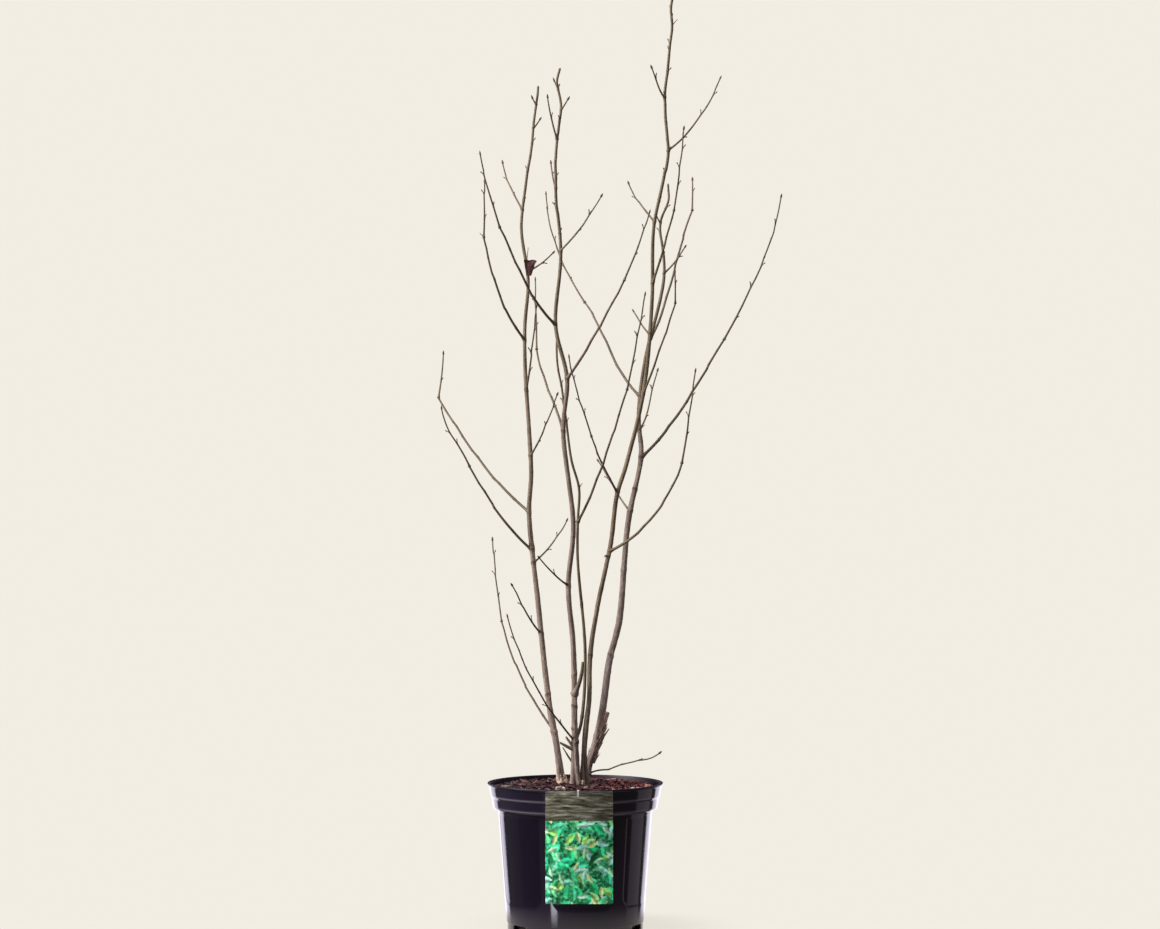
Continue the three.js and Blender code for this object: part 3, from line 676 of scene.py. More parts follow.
# each stem passes through its nodes, and is part of its crown of twigs above the height twigsFrom
stems = {
    "left": {
        "nodes": [
            (-20, 2, 220), (-29, 4, 287), (-42, 8, 359), (-60, 20, 523), (-74, 30, 661), (-71, 34, 728),
            (-81, 46, 905), (-81, 50, 965), (-76, 54, 1036), (-87, 60, 1125), (-72, 66, 1245),
            (-60, 72, 1352),
        ],
        "foot": 8, "tip": 2.6, "flare": 2, "twigsFrom": 1128, "olive": 0.25, "rings": [372, 610],
        "girth": (1.25, 1.42),
    },
    "inner_left": {
        "nodes": [
            (0, -9, 220), (-1, -9, 330), (-3, -12, 448), (-11, -16, 548), (-3, -20, 641), (-19, -27, 793),
            (-13, -30, 876), (-31, -34, 960), (-23, -38, 1070), (-31, -42, 1178), (-29, -44, 1255),
            (-22, -46, 1307), (-29, -47, 1343), (-24, -48, 1367),
        ],
        "foot": 10.4, "tip": 2.8, "flare": 5, "twigsFrom": 1062, "olive": 0.1, "rings": [318, 355, 406],
        "girth": (0.88, 1.34),
    },
    "middle": {
        "nodes": [
            (-1, -9, 296), (9, 0, 326), (16, 12, 435), (4, 10, 587), (4, 5, 648), (6, 1, 701), (-6, -3, 747),
            (-19, -10, 843), (-30, -13, 919), (-29, -15, 946),
        ],
        "foot": 5, "tip": 2.6, "flare": 0, "twigsFrom": 760, "olive": 0.9, "rings": [338, 517],
        "girth": (1.1, 1.25),
    },
    "inner_right": {
        "nodes": [
            (14, -2, 220), (15, -4, 298), (22, -6, 365), (24, -8, 437), (35, -10, 511), (57, -13, 617),
            (66, -16, 690), (81, -17, 739), (109, -21, 858), (122, -26, 1001), (125, -28, 1119),
            (147, -32, 1232), (142, -34, 1315), (153, -37, 1433), (152, -38, 1462), (157, -38, 1489),
        ],
        "foot": 8.8, "tip": 2.8, "flare": 4, "twigsFrom": 1114, "olive": 0.5, "rings": [436, 594],
        "girth": (0.88, 1.4),
    },
    "right": {
        "nodes": [
            (17, 15, 220), (20, 15, 258), (31, 15, 287), (44, 18, 350), (55, 23, 427), (70, 27, 487),
            (85, 35, 648), (106, 40, 755), (102, 42, 815), (112, 46, 905), (143, 58, 1042), (138, 66, 1132),
            (151, 70, 1169), (150, 73, 1194),
        ],
        "foot": 13.5, "tip": 2.6, "flare": 3, "twigsFrom": 1046, "olive": 0.1, "rings": [434, 572, 700],
        "girth": (0.84, 1.3),
    },
}
# each bough: height on its stem, its joint, lean, the tip of the twig that goes on from it, turn, thickness
boughs = {
    "left": [
        (314, (-119, 75, 485), (46, 18), (-135, 105, 622), (20, 10), 3.2),
        (603, (-168, -10, 736), (53, 32), (-212, -45, 833), (28, 6), 3.8),
        (664, (-223, 120, 848), (57, 36), (-216, 140, 926), (18, 4), 3.8),
        (941, (-145, -30, 1099), (56, 18), (-143, -55, 1192), (18, 8), 3.6),
    ],
    "inner_left": [
        (793, (-62, 40, 924), (28, 18), (-65, 90, 1044), (26, 14), 3.6),
        (876, (76, -130, 1026), (48, 38), (116, -180, 1133), (34, 24), 3.8),
        (962, (-117, -135, 1108), (64, 38), (-147, -185, 1223), (32, 16), 3.8),
    ],
    "middle": [
        (648, (81, -110, 856), (44, 30), (109, -170, 1007), (24, 20), 3.6),
    ],
    "inner_right": [
        (602, (167, -95, 741), (70, 22), (188, -130, 890), (18, 14), 4),
        (695, (26, -70, 783), (46, 30), (-10, -125, 912), (30, 14), 3.2),
        (852, (157, -90, 992), (34, 28), (156, -105, 1046), (20, 10), 3.2),
        (1028, (155, -80, 1138), (32, 26), (170, -125, 1268), (24, 14), 3.4),
    ],
    "right": [
        (751, (241, 95, 942), (50, 34), (337, 130, 1182), (30, 8), 4.2),
        (850, (16, 150, 1005), (62, 48), (-49, 200, 1192), (40, 2), 3.8),
        (942, (192, 165, 1157), (48, 38), (193, 185, 1214), (26, 10), 3.6),
    ],
}
# each twig that stands straight on a stem: height, tip, lean and thickness
twigs = {
    "left": [
        (470, (-102, -40, 552), (60, 42), 2.8), (582, (-12, 85, 653), (58, 34), 2.6),
        (754, (-27, -60, 854), (56, 40), 2.8), (860, (-61, -25, 995), (34, 22), 2.8),
        (1050, (-33, 85, 1086), (62, 48), 2.6), (1151, (-119, 105, 1235), (42, 14), 2.8),
        (1284, (-55, 78, 1302), (56, 40), 2.2), (1322, (-71, 66, 1336), (40, 20), 2),
    ],
    "inner_left": [
        (299, (-107, -100, 506), (48, 18), 2.8), (374, (12, -28, 427), (40, 4), 4.4),
        (548, (-59, -75, 596), (72, 52), 2.8), (1079, (43, -100, 1164), (56, 38), 2.8),
        (1178, (-39, -15, 1224), (50, 6), 2.6), (1255, (-44, -70, 1323), (34, 10), 2.6),
        (1302, (-9, -54, 1321), (50, 40), 2.2), (1340, (-35, -46, 1352), (50, 20), 2),
    ],
    "inner_right": [
        (947, (91, 5, 988), (60, 40), 2.4), (1125, (84, 20, 1194), (48, 26), 2.8),
        (1238, (234, 25, 1363), (56, 24), 2.8), (1321, (119, -62, 1370), (60, 34), 2.8),
    ],
    "right": [
        (243, (136, -30, 284), (48, 34), 2.4), (665, (35, 95, 749), (54, 46), 2.8),
        (796, (135, 110, 897), (62, 40), 2.6), (1049, (180, 90, 1096), (58, 42), 2.6),
        (1130, (129, 60, 1147), (50, 24), 2.2),
    ],
}


def hermite(start, leave, end, arrive, t):
    t2, t3 = t * t, t * t * t
    onward = start * (2 * t3 - 3 * t2 + 1) + leave * (t3 - 2 * t2 + t)
    return onward + end * (3 * t2 - 2 * t3) + arrive * (t3 - t2)


def throughNodes(nodes, t):
    # a centripetal Catmull-Rom curve
    points = [Vector(node) for node in nodes]
    points = [2 * points[0] - points[1], *points, 2 * points[-1] - points[-2]]
    i = min(int(t * (len(nodes) - 1)), len(nodes) - 2)
    before, a, b, after = points[i:i + 4]
    d0, d1, d2 = [math.sqrt((q - p).length) for p, q in ((before, a), (a, b), (b, after))]
    leave = (a - before) / d0 - (b - before) / (d0 + d1) + (b - a) / d1
    arrive = (b - a) / d1 - (after - a) / (d1 + d2) + (after - b) / d2
    return hermite(a, leave * d1, b, arrive * d1, t * (len(nodes) - 1) - i)


class Curve:
    # a curve that is read by shares of its own length
    steps = 200

    def __init__(self, pointOf):
        self.pointOf = pointOf
        self.sums = [0]
        points = [pointOf(i / self.steps) for i in range(self.steps + 1)]
        for a, b in zip(points, points[1:]):
            self.sums.append(self.sums[-1] + (b - a).length)
        self.length = self.sums[-1]

    def spot(self, share):
        far = share * self.length
        i = min(max(bisect.bisect_right(self.sums, far) - 1, 0), self.steps - 1)
        return (i + (far - self.sums[i]) / (self.sums[i + 1] - self.sums[i])) / self.steps

    def at(self, share):
        return self.pointOf(self.spot(share))

    def heading(self, share):
        t, small = self.spot(share), 0.0001
        return (self.pointOf(min(1, t + small)) - self.pointOf(max(0, t - small))).normalized()


def shareAtHeight(curve, height):
    low, high = 0, 1
    for _ in range(30):
        middle = (low + high) / 2
        if curve.at(middle).z < height:
            low = middle
        else:
            high = middle
    return (low + high) / 2


def pointAtHeight(curve, height):
    return curve.at(shareAtHeight(curve, height))


def leaned(heading, side, degrees):
    turn = math.radians(degrees)
    return heading * math.cos(turn) + side * math.sin(turn)


def runOfGrowth(start, end, leans):
    run = end - start
    out = Vector((run.x, run.y, 0)).normalized()
    leave, arrive = [leaned(up, out, lean) * run.length for lean in leans]
    return Curve(lambda t: hermite(start, leave, end, arrive, t))


def tapered(thick, tip):
    return lambda share: (tip + (thick - tip) * (1 - share) ** growth["taper"]) / 2


def newLimb(name, kind, stem, curve, radiusAt, start=0, end=1, parent=None):
    # the part of a curve from one share of it to another, as thick as radiusAt tells
    return SimpleNamespace(
        name=name, kind=kind, stem=stem, curve=curve, radiusAt=radiusAt, start=start, end=end, parent=parent,
        length=curve.length * (end - start), olive=stems[stem]["olive"], girth=(1, 1), nodes=[], forks=[],
        raw=(0, 0),
    )


def growStem(name, size):
    curve = Curve(lambda t: throughNodes(size["nodes"], t))
    slim = tapered(size["foot"], size["tip"])

    def radiusAt(share):
        height = max(0, curve.at(share).z - growth["ground"])
        return slim(share) + size["flare"] / 2 * math.exp(-height / growth["flareHeight"])

    split = shareAtHeight(curve, size["twigsFrom"])
    restart = split + growth["gap"] / curve.length
    return [
        newLimb("stem_" + name, "stem", name, curve, radiusAt, end=split),
        newLimb(f"twigs_{name}_top", "twig", name, curve, radiusAt, start=restart),
    ]


def growBough(stem, number, at, node, lean, tip, turn, thick):
    trunk = limbNamed["stem_" + stem]
    joint = Vector(node)
    climb = runOfGrowth(pointAtHeight(trunk.curve, at), joint, lean)
    end = thick * growth["boughEnd"]
    bough = newLimb(f"bough_{stem}_{number}", "bough", stem, climb, tapered(thick, end), parent=trunk)
    onward = runOfGrowth(joint + climb.heading(1) * growth["gap"], Vector(tip), turn)
    slim = tapered(end, growth["twigTip"])
    return [bough, newLimb(f"twigs_{stem}_{number}", "twig", stem, onward, slim, parent=bough)]


def growTwig(stem, number, at, tip, lean, thick):
    trunk = limbNamed["stem_" + stem]
    share = shareAtHeight(trunk.curve, at)
    parent = trunk if share <= trunk.end else limbNamed[f"twigs_{stem}_top"]
    curve = runOfGrowth(trunk.curve.at(share), Vector(tip), lean)
    slim = tapered(thick, growth["twigTip"])
    return [newLimb(f"twig_{stem}_{number}", "twig", stem, curve, slim, parent=parent)]


limbs = [limb for name, size in stems.items() for limb in growStem(name, size)]
limbNamed = {limb.name: limb for limb in limbs}
for grow, lists in ((growBough, boughs), (growTwig, twigs)):
    for stemName, rows in lists.items():
        for number, row in enumerate(rows, 1):
            limbs += grow(stemName, number, *row)
for limbIndex, limb in enumerate(limbs):
    limb.index = limbIndex
limbNamed = {limb.name: limb for limb in limbs}
limbNamed["stem_middle"].parent = limbNamed["stem_inner_left"]


def chance(limb, bud):
    # a repeatable random number from 0 to 1 for one bud of one limb, and another for a part of a bud more
    perLimb, perBud, spread = growth["wave"]
    wave = math.sin(limb.index * perLimb + bud * perBud + growth["seed"]) * spread
    return wave - math.floor(wave)


def budCount(limb):
    return math.floor(limb.length / growth["spacing"])


def budShare(limb, bud):
    place = bud + growth["scatter"] * (chance(limb, bud) - 0.5)
    return limb.start + (limb.end - limb.start) * place / (budCount(limb) + 1)


def budSide(limb, bud, heading):
    side = Vector((1, 0, 0)).cross(heading).normalized()
    return Quaternion(heading, bud * math.radians(growth["goldenAngle"])) @ side


# Limbs: bark in relief round the same curves, with a ring scar, a swelling and a bud at each growth node

plainSkin = {"swell": 0, "dark": 0, "width": 1, "lobes": 0, "aged": 1}
skins = {
    # ring spacing and sides of the mesh, swelling, darkness and width of a node, how marked the nodes and
    # the bud scars between them are, the kink at a node, the depths of the relief and of the root lobes, and
    # how much thicker the bark counts as when its age is told from it
    "stem": {
        **plainSkin, "ring": 1.5, "sides": 36, "swell": 0.1, "dark": 0.55, "width": 3.2,
        "marks": (0.3, 0.15), "kink": 0, "relief": 0.3, "lobes": 0.06,
    },
    "bough": {
        **plainSkin, "ring": 1.6, "sides": 14, "swell": 0.2, "dark": 0.4, "width": 2,
        "marks": (0.7, 0.35), "kink": 0.7, "relief": 0.03,
    },
    "twig": {
        **plainSkin, "ring": 1.6, "sides": 10, "swell": 0.2, "dark": 0.4, "width": 1.8,
        "marks": (0.7, 0.35), "kink": 0.7, "relief": 0.015,
    },
    "spur": {**plainSkin, "ring": 1.4, "sides": 8, "relief": 0.01},
    "stub": {**plainSkin, "ring": 1.2, "sides": 20, "relief": 0.5, "aged": 2.5},
    "husk": {**plainSkin, "ring": 1, "sides": 24, "relief": 1.3},
}
barkForm = {
    # root lobes: how high they reach, how many, how they turn with height, and the foot's spread by its flare
    "lobeHeight": 50, "lobeCount": 4, "lobeTurn": 16, "spread": 0.08,
    # a node's ring: its slant, its turn by height, how narrow and how drawn in its scar is, the most that it
    # swells, and how marked a fork is
    "slant": 0.4, "turned": 2.4, "scarWidth": 0.5, "pinch": 0.35, "mostSwell": 2.4, "forkMark": 1.6,
    # a limb's foot on its parent: how swollen, and over how many times the parent's radius and how much more
    "collar": (0.7, 1.6, 2),
    # flutes, ridges and grains: how close round the limb and how tall, then the depth of flutes and grains,
    # and how far apart the pattern of one limb lies from that of the next
    "layers": ((0.35, 45), (0.9, 9), (1.6, 2.4)), "fluted": 1.6, "grained": 0.7, "apart": 700,
    # how dark the painted shade in the relief's hollows is, how dark the soiled foot is, the darkest of all,
    # and where bark is stripped in patches
    "hollowShade": 0.3, "soiled": 0.1, "darkest": 0.85, "patch": (-0.3, 0.1),
    # how much thicker twigs are drawn, the diameters at which bark is young and old, and the fewest rings
    "twigGirth": (1.2, 1.2), "ages": (4.5, 11), "fewest": 4,
}
attributes = ("scar", "olive", "age", "raw")


# limbs that end blunt, and their thickness at foot and tip; how far a limb's nodes are bent upwards; and
# stray shoots: their limb, the height and the tip
blunt = {"twig_inner_left_2": (7, 3.6)}
bent = {"twig_right_1": (-5, 1.5, 6.2, 3)}
strays = [
    ("stem_left", 1062, (-76, 52, 1088)), ("twigs_left_4", 1101, (-150.5, -31, 1106)),
    ("stem_middle", 702, (10.5, 0, 709)), ("bough_middle_1", 763, (52, -56, 771)),
    ("stem_right", 795, (111, 41, 803)), ("twigs_inner_right_top", 1459, (149.5, -39, 1466)),
    ("twigs_inner_right_top", 1435, (161, -38, 1444)), ("twigs_inner_right_top", 1393, (146.5, -38, 1402)),
]


def farAtHeight(limb, height):
    return (shareAtHeight(limb.curve, height) - limb.start) * limb.curve.length


def setNodes(limb):
    # growth nodes of one limb: how far along it, in mm, how marked, and which way the limb is kinked there
    skin, curve = skins[limb.kind], limb.curve
    for half in range(2, 2 * budCount(limb) + 2):
        bud = half / 2
        share = budShare(limb, bud)
        limb.nodes.append({
            "bud": bud, "far": (share - limb.start) * curve.length,
            "mark": skin["marks"][half % 2] * (0.5 + chance(limb, bud + 0.2)),
            "kink": budSide(limb, bud, curve.heading(share)) * skin["kink"] * (-1 if half % 2 else 1),
        })
    for node, rise in zip(limb.nodes, bent.get(limb.name, ())):
        node["kink"] = up * rise
    onStem = limb.kind == "stem" or limb.parent is None
    limb.girth = stems[limb.stem]["girth"] if onStem else barkForm["twigGirth"]
    top = curve.at(limb.end).z
    feet = [child.curve.at(0).z for child in limbs if child.parent is limb]
    heights = [foot for foot in feet if foot < top]
    if limb.kind == "stem":
        heights += stems[limb.stem]["rings"]
    limb.forks = [farAtHeight(limb, height) for height in heights]


def kinkAt(limb, far):
    kinks = [(node["far"], node["kink"]) for node in limb.nodes]
    stations = [(0, Vector()), *kinks, (limb.length, Vector())]
    for (a, kinkA), (b, kinkB) in zip(stations, stations[1:]):
        if far <= b:
            return kinkA.lerp(kinkB, min(max((far - a) / max(b - a, 0.001), 0), 1))
    return Vector()


def pointOn(limb, far):
    share = limb.start + far / limb.curve.length
    return limb.curve.at(min(share, 1)) + kinkAt(limb, far)


def markedBy(near, skin, turn, radius):
    # swelling and darkness from the nodes close by: each ring is slanted, and strongest on one side
    swell = scar = 0
    for off, mark, lean in near:
        facing = math.cos(turn - lean)
        slanted = (off - barkForm["slant"] * radius * facing) / skin["width"]
        swell += mark * math.exp(-slanted ** 2)
        scar += mark * (0.5 + 0.5 * facing) * math.exp(-(slanted / barkForm["scarWidth"]) ** 2)
    return min(swell, barkForm["mostSwell"]), min(scar, 1)


def layLimb(bm, limb, tipShare=0.5):
    # a closed tube of rings round the limb's curve, in relief, with the attributes that its bark is drawn by
    form, skin, flare, parent = barkForm, skins[limb.kind], stems[limb.stem]["flare"], limb.parent
    layers = {name: bm.verts.layers.float[name] for name in attributes}
    grain = bm.verts.layers.float_vector["grain"]
    curve, length, sides = limb.curve, limb.length, skin["sides"]
    rings = max(form["fewest"], round(length / skin["ring"]))
    made = bmesh.ops.create_grid(bm, x_segments=sides, y_segments=rings, size=0.5)["verts"]
    marks = [(node["far"], node["mark"]) for node in limb.nodes]
    marks += [(far, form["forkMark"]) for far in limb.forks]
    swollen, timesParent, least = form["collar"]
    collar = timesParent * (parent.radiusAt(0.5) if parent and parent.kind == "stem" else 1) + least
    thin, thick = limb.girth
    bared, baredFrom = limb.raw
    side = Vector((1, 0, 0))
    for ring in range(rings + 1):
        far = length * ring / rings
        share = min(limb.start + far / curve.length, 1)
        heading = curve.heading(share)
        centre = pointOn(limb, far)
        side = (side - heading * side.dot(heading)).normalized()
        across = heading.cross(side)
        radius = limb.radiusAt(share) * (thin + (thick - thin) * share)
        near = [
            (far - at, mark, form["turned"] * at) for at, mark in marks
            if abs(far - at) < 3 * skin["width"] + radius
        ]
        foot = swollen * math.exp(-(far / collar) ** 2) if parent and limb.start == 0 else 0
        low = math.exp(-max(0, centre.z - growth["ground"]) / form["lobeHeight"])
        lobes = skin["lobes"] * low * flare
        if lobes:
            radius *= 1 + form["spread"] * flare * low
        age = smooth(*form["ages"], 2 * radius * skin["aged"])
        deep = skin["relief"] * (0.5 + age) / radius
        for column in range(sides + 1):
            vert = made[ring * (sides + 1) + column]
            turn = 2 * math.pi * (column % sides) / sides
            ahead, aside = math.cos(turn), math.sin(turn)
            spot = Vector((ahead * 5, aside * 5, far + form["apart"] * limb.index))
            flutes, ridges, grains = [
                noise.noise(Vector((spot.x * often, spot.y * often, spot.z / tall)))
                for often, tall in form["layers"]
            ]
            rough = form["fluted"] * flutes + ridges + form["grained"] * grains
            lobe = lobes * math.cos(form["lobeCount"] * turn + far / form["lobeTurn"] + limb.index)
            swell, scar = markedBy(near, skin, turn, radius)
            scale = 1 + skin["swell"] * (swell - form["pinch"] * scar) + foot + lobe + deep * rough
            if ring == rings:
                scale *= tipShare
            # painted shade: darker in the hollows of the relief and in the crevices between root lobes, with
            # the soiled foot's darkening added
            hollowShade = form["hollowShade"] * age * max(0, -rough) + 3 * max(0, -lobe) + form["soiled"] * low
            patch = smooth(*form["patch"], ridges + grains)
            vert.co = (centre + (side * ahead + across * aside) * radius * scale) * mm
            vert[grain] = Vector((ahead * radius, aside * radius, spot.z)) * mm
            # the scar attribute holds the ring scars together with the painted shade
            vert[layers["scar"]] = min(scar * skin["dark"] + hollowShade, form["darkest"])
            vert[layers["olive"]] = min(1, limb.olive + 0.5 * (1 - age))
            vert[layers["age"]] = age
            vert[layers["raw"]] = bared * patch * smooth(baredFrom - 0.2, baredFrom, ring / rings)
    row = sides + 1
    seam = [made[i * row + column] for i in range(rings + 1) for column in (0, sides)]
    bmesh.ops.remove_doubles(bm, verts=seam, dist=1e-7)
    ends = [vert for vert in made[1:sides] + made[-row + 1:-1] if vert.is_valid]
    edges = {edge for vert in ends for edge in vert.link_edges if edge.is_boundary}
    bmesh.ops.holes_fill(bm, edges=list(edges), sides=0)


def newBark():
    bm = bmesh.new()
    for name in attributes:
        bm.verts.layers.float.new(name)
    bm.verts.layers.float_vector.new("grain")
    return bm


barkTones = {
    # darker and paler grey bark, and darker and paler olive bark
    "young": (("#64554a", "#776759"), ("#60543e", "#72664e")),
    "old": (("#9c8a84", "#c2b0aa"), ("#92816a", "#b09f88")),
}
barkGrain = {
    # roughness of young and old bark, width and length of the cracks, spacing of the lenticels, how dark the
    # cracks and how clear the lenticels are, and the strength of the bump
    "stem": ((0.6, 0.8), (1.1, 16), 4.5, 0.45, 0.35, 0.5),
    "twig": ((0.42, 0.6), (0.8, 14), 3.2, 0.8, 0.15, 0.2),
}


def barkSkin(name, kind):
    # living bark: thin smooth cork with fine lengthwise cracks, pale dots of lenticels and dark ring scars,
    # whose mark also holds painted shade in the relief's hollows and between root lobes
    material, add, shader, place = newMaterial(name, "grain")
    roughness, (wide, tall), lenticels, darkest, clear, depth = barkGrain[kind]
    scar, olive, age, raw = [
        add("Attribute", {}, attribute_name=mark).outputs["Fac"] for mark in attributes
    ]
    patches = add("TexNoise", {"Vector": place, "Scale": 1 / 0.011, "Detail": 4, "Roughness": 0.6})
    stretched = add("Mapping", {
        "Vector": place, "Scale": (1 / (wide * mm), 1 / (wide * mm), 1 / (tall * mm)),
    })
    streaks = add("TexNoise", {"Vector": stretched, "Scale": 1, "Detail": 5, "Roughness": 0.68})
    ages = []
    for tones in (barkTones["young"], barkTones["old"]):
        grey, browned = [
            add("Mix", {"Factor": patches, 6: darker, 7: paler}, data_type="RGBA")
            for darker, paler in tones
        ]
        ages.append(add("Mix", {"Factor": olive, 6: grey, 7: browned}, data_type="RGBA"))
    skin = add("Mix", {"Factor": age, 6: ages[0], 7: ages[1]}, data_type="RGBA")
    deepest = add("MapRange", {"Value": age, "To Min": 0.88, "To Max": darkest})
    cracks = add("MapRange", {
        "Value": streaks, "From Min": 0.3, "From Max": 0.62, "To Min": deepest, "To Max": 1.12,
    })
    clouds = add("TexNoise", {"Vector": place, "Scale": 1 / 0.045, "Detail": 2})
    weathered = add("MapRange", {
        "Value": clouds, "From Min": 0.36, "From Max": 0.6, "To Min": 0.78, "To Max": 1.16,
    })
    toned = add("Math", {0: cracks, 1: weathered}, operation="MULTIPLY")
    colour = add("VectorMath", {0: skin, "Scale": toned}, operation="SCALE")
    squashed = add("Mapping", {
        "Vector": place, "Scale": (1 / (lenticels * mm), 1 / (lenticels * mm), 1.7 / (lenticels * mm)),
    })
    dots = add("TexVoronoi", {"Vector": squashed, "Scale": 1})
    dotted = add("MapRange", {"Value": dots, "From Min": 0.26, "From Max": 0.14, "To Max": clear})
    # the scar tone darkens both the ring scars and the painted shade in hollows and crevices
    for share, tone in ((dotted, "#9a8576"), (scar, "#2b1f1b"), (raw, "#ecd0b9")):
        colour = add("Mix", {"Factor": share, 6: colour, 7: tone}, data_type="RGBA")
    height = add("Math", {0: streaks, 1: dotted}, operation="ADD")
    bump = add("Bump", {"Strength": depth, "Distance": 0.35 * mm, "Height": height})
    dull = add("MapRange", {"Value": age, "To Min": roughness[0], "To Max": roughness[1]})
    setInputs(shader, {"Base Color": colour, "Roughness": dull, "Normal": bump, "IOR": 1.4})
    return material


stemBark = barkSkin("grey-brown stem bark", "stem")
twigBark = barkSkin("olive-brown twig bark", "twig")

for limb in limbs:
    setNodes(limb)
for limbName, thicknesses in blunt.items():
    limbNamed[limbName].radiusAt = tapered(*thicknesses)


# old cut and broken ends: height on the stem, tip, thickness at both ends
snags = {
    "inner_left": [
        (284, (-25, -18, 298), 6, 3), (286, (-15, -16, 307), 5, 3.4), (258, (-20, -14, 290), 3.4, 2),
    ],
    "inner_right": [(596, (46, -20, 594), 4, 3)],
    "right": [(280, (54, 4, 318), 3.6, 2)],
}
torn = {
    "at": 270, "aside": (2.5, 3, 0), "tip": (52, 15, 344), "thick": (12, 7.5), "seed": 5,
    # slivers: how many, their length and width, where their feet are along the stub, and how they splay
    "slivers": 90, "length": (8, 21), "width": (0.8, 2.2), "point": 0.15, "feet": (-0.1, 0.75), "splay": 0.32,
}
rawWood = {
    # the husk's heights, how far it stands off, how olive and how bare it is; the cut stub's ends and width
    "heights": (221, 248), "extra": 3.2, "olive": 0.3, "bared": 0.85,
    "stub": ((12, -24, 224), (12.6, -26, 238)), "thick": 5,
}


def stubLimb(stem, start, tip, thick, end, raw=(0, 0)):
    limb = newLimb("stub", "stub", stem, Curve(lambda t: start.lerp(tip, t)), tapered(thick, end))
    limb.index, limb.raw = round(start.z), raw
    return limb


def makeStemBark(name):
    bm = newBark()
    trunk = limbNamed["stem_" + name]
    layLimb(bm, trunk, 1)
    for height, tip, thick, end in snags.get(name, ()):
        start = pointAtHeight(trunk.curve, height)
        layLimb(bm, stubLimb(name, start, Vector(tip), thick, end, (0.6, 0.9)), 0.8)
    addPiece("bark_" + name, bm, stemBark, ["stem_" + name])
    bm = newBark()
    grown = [limb for limb in limbs if limb.kind == "bough" and limb.stem == name]
    for limb in grown:
        layLimb(bm, limb, 1)
    addPiece("branches_" + name, bm, twigBark, [limb.name for limb in grown])


def makeRawWood():
    # the husk of pale bark round a foot, and a stub cut off close to the soil
    size = rawWood
    left = limbNamed["stem_left"]
    low, high = [shareAtHeight(left.curve, height) for height in size["heights"]]

    def huskAt(share):
        return left.radiusAt(share) + size["extra"] * (1 - ((share - low) / (high - low)) ** 2)

    bm = newBark()
    husk = newLimb("husk", "husk", "left", left.curve, huskAt, low, high)
    husk.index, husk.olive, husk.raw, husk.girth = 3, size["olive"], (size["bared"], 0), left.girth
    layLimb(bm, husk, 0.9)
    start, tip = [Vector(point) for point in size["stub"]]
    layLimb(bm, stubLimb("inner_left", start, tip, size["thick"], size["thick"], (1, 0)), 0.8)
    addPiece("raw_wood", bm, stemBark)


def tornFibre():
    # a strip of torn wood: reddish brown where it has weathered, with paler fibres
    material, add, shader, place = newMaterial("torn reddish wood")
    along = add("Mapping", {"Vector": place, "Scale": (1 / 0.0009, 1 / 0.0009, 1 / 0.012)})
    fibres = add("TexNoise", {"Vector": along, "Scale": 1, "Detail": 5, "Roughness": 0.7})
    colour = add("ValToRGB", {"Fac": fibres}, [
        (0.3, "#64493f"), (0.44, "#a5877a"), (0.56, "#cbb1a5"), (0.68, "#eaddd3"),
    ])
    bump = add("Bump", {"Strength": 1, "Distance": 0.6 * mm, "Height": fibres})
    setInputs(shader, {"Base Color": colour, "Roughness": 0.85, "Normal": bump})
    return material


def makeTornStub():
    size = torn
    dice = random.Random(size["seed"])
    start = pointAtHeight(limbNamed["stem_right"].curve, size["at"]) + Vector(size["aside"])
    tip = Vector(size["tip"])
    run = tip - start
    heading = run.normalized()
    side = heading.orthogonal().normalized()
    thick, thin = size["thick"]
    bm = newBark()
    layLimb(bm, stubLimb("right", start, tip, thick, thin), 0.7)
    for _ in range(size["slivers"]):
        out = Quaternion(heading, dice.uniform(0, 2 * math.pi)) @ side
        length = dice.uniform(*size["length"])
        place = dice.uniform(*size["feet"])
        foot = start + run * place + out * (thick + (thin - thick) * place) / 2
        lean = (heading + out * dice.uniform(0, size["splay"])).normalized()
        turn = lean.to_track_quat("Z", "X").to_matrix().to_4x4()
        bmesh.ops.create_cone(
            bm, cap_ends=True, segments=5, radius1=dice.uniform(*size["width"]) * mm,
            radius2=size["point"] * mm, depth=length * mm,
            matrix=Matrix.Translation((foot + lean * length / 2) * mm) @ turn,
        )
    addPiece("torn_stub", bm, tornFibre(), sharpFrom=50)


for stemName in stems:
    makeStemBark(stemName)
makeRawWood()
makeTornStub()
print("stems and boughs")


# Twigs: bare shoots with a spur and a bud at each growth node, down to the smallest side shoots

budSize = {
    # length, width and thickness of a bud at the end of a shoot, beside a node, and at the end of a spur
    "end": (8.2, 3.9, 3), "side": (4, 2.3, 1.9), "spur": (4.2, 2.3, 1.9), "small": (2.6, 1.5, 1.3),
    # a bud's width at its foot and how much less at its tip; how far it is sunk into a spur or stands beside
    # a twig, by the length or the thickness; the thickest twig with small buds
    "taper": (1.25, 0.75), "sunk": 0.3, "aside": 0.3, "smallTo": 2, "lean": 16, "neck": 7.2,
}
# side shoots of the longer spurs: where on the spur, how long, how leaned and how thick; all shoots' bow
fineShoot = {
    "share": 0.42, "reach": 0.42, "lean": 40, "least": 8, "foot": 1.1, "stray": 1.8, "bow": 0.35,
}


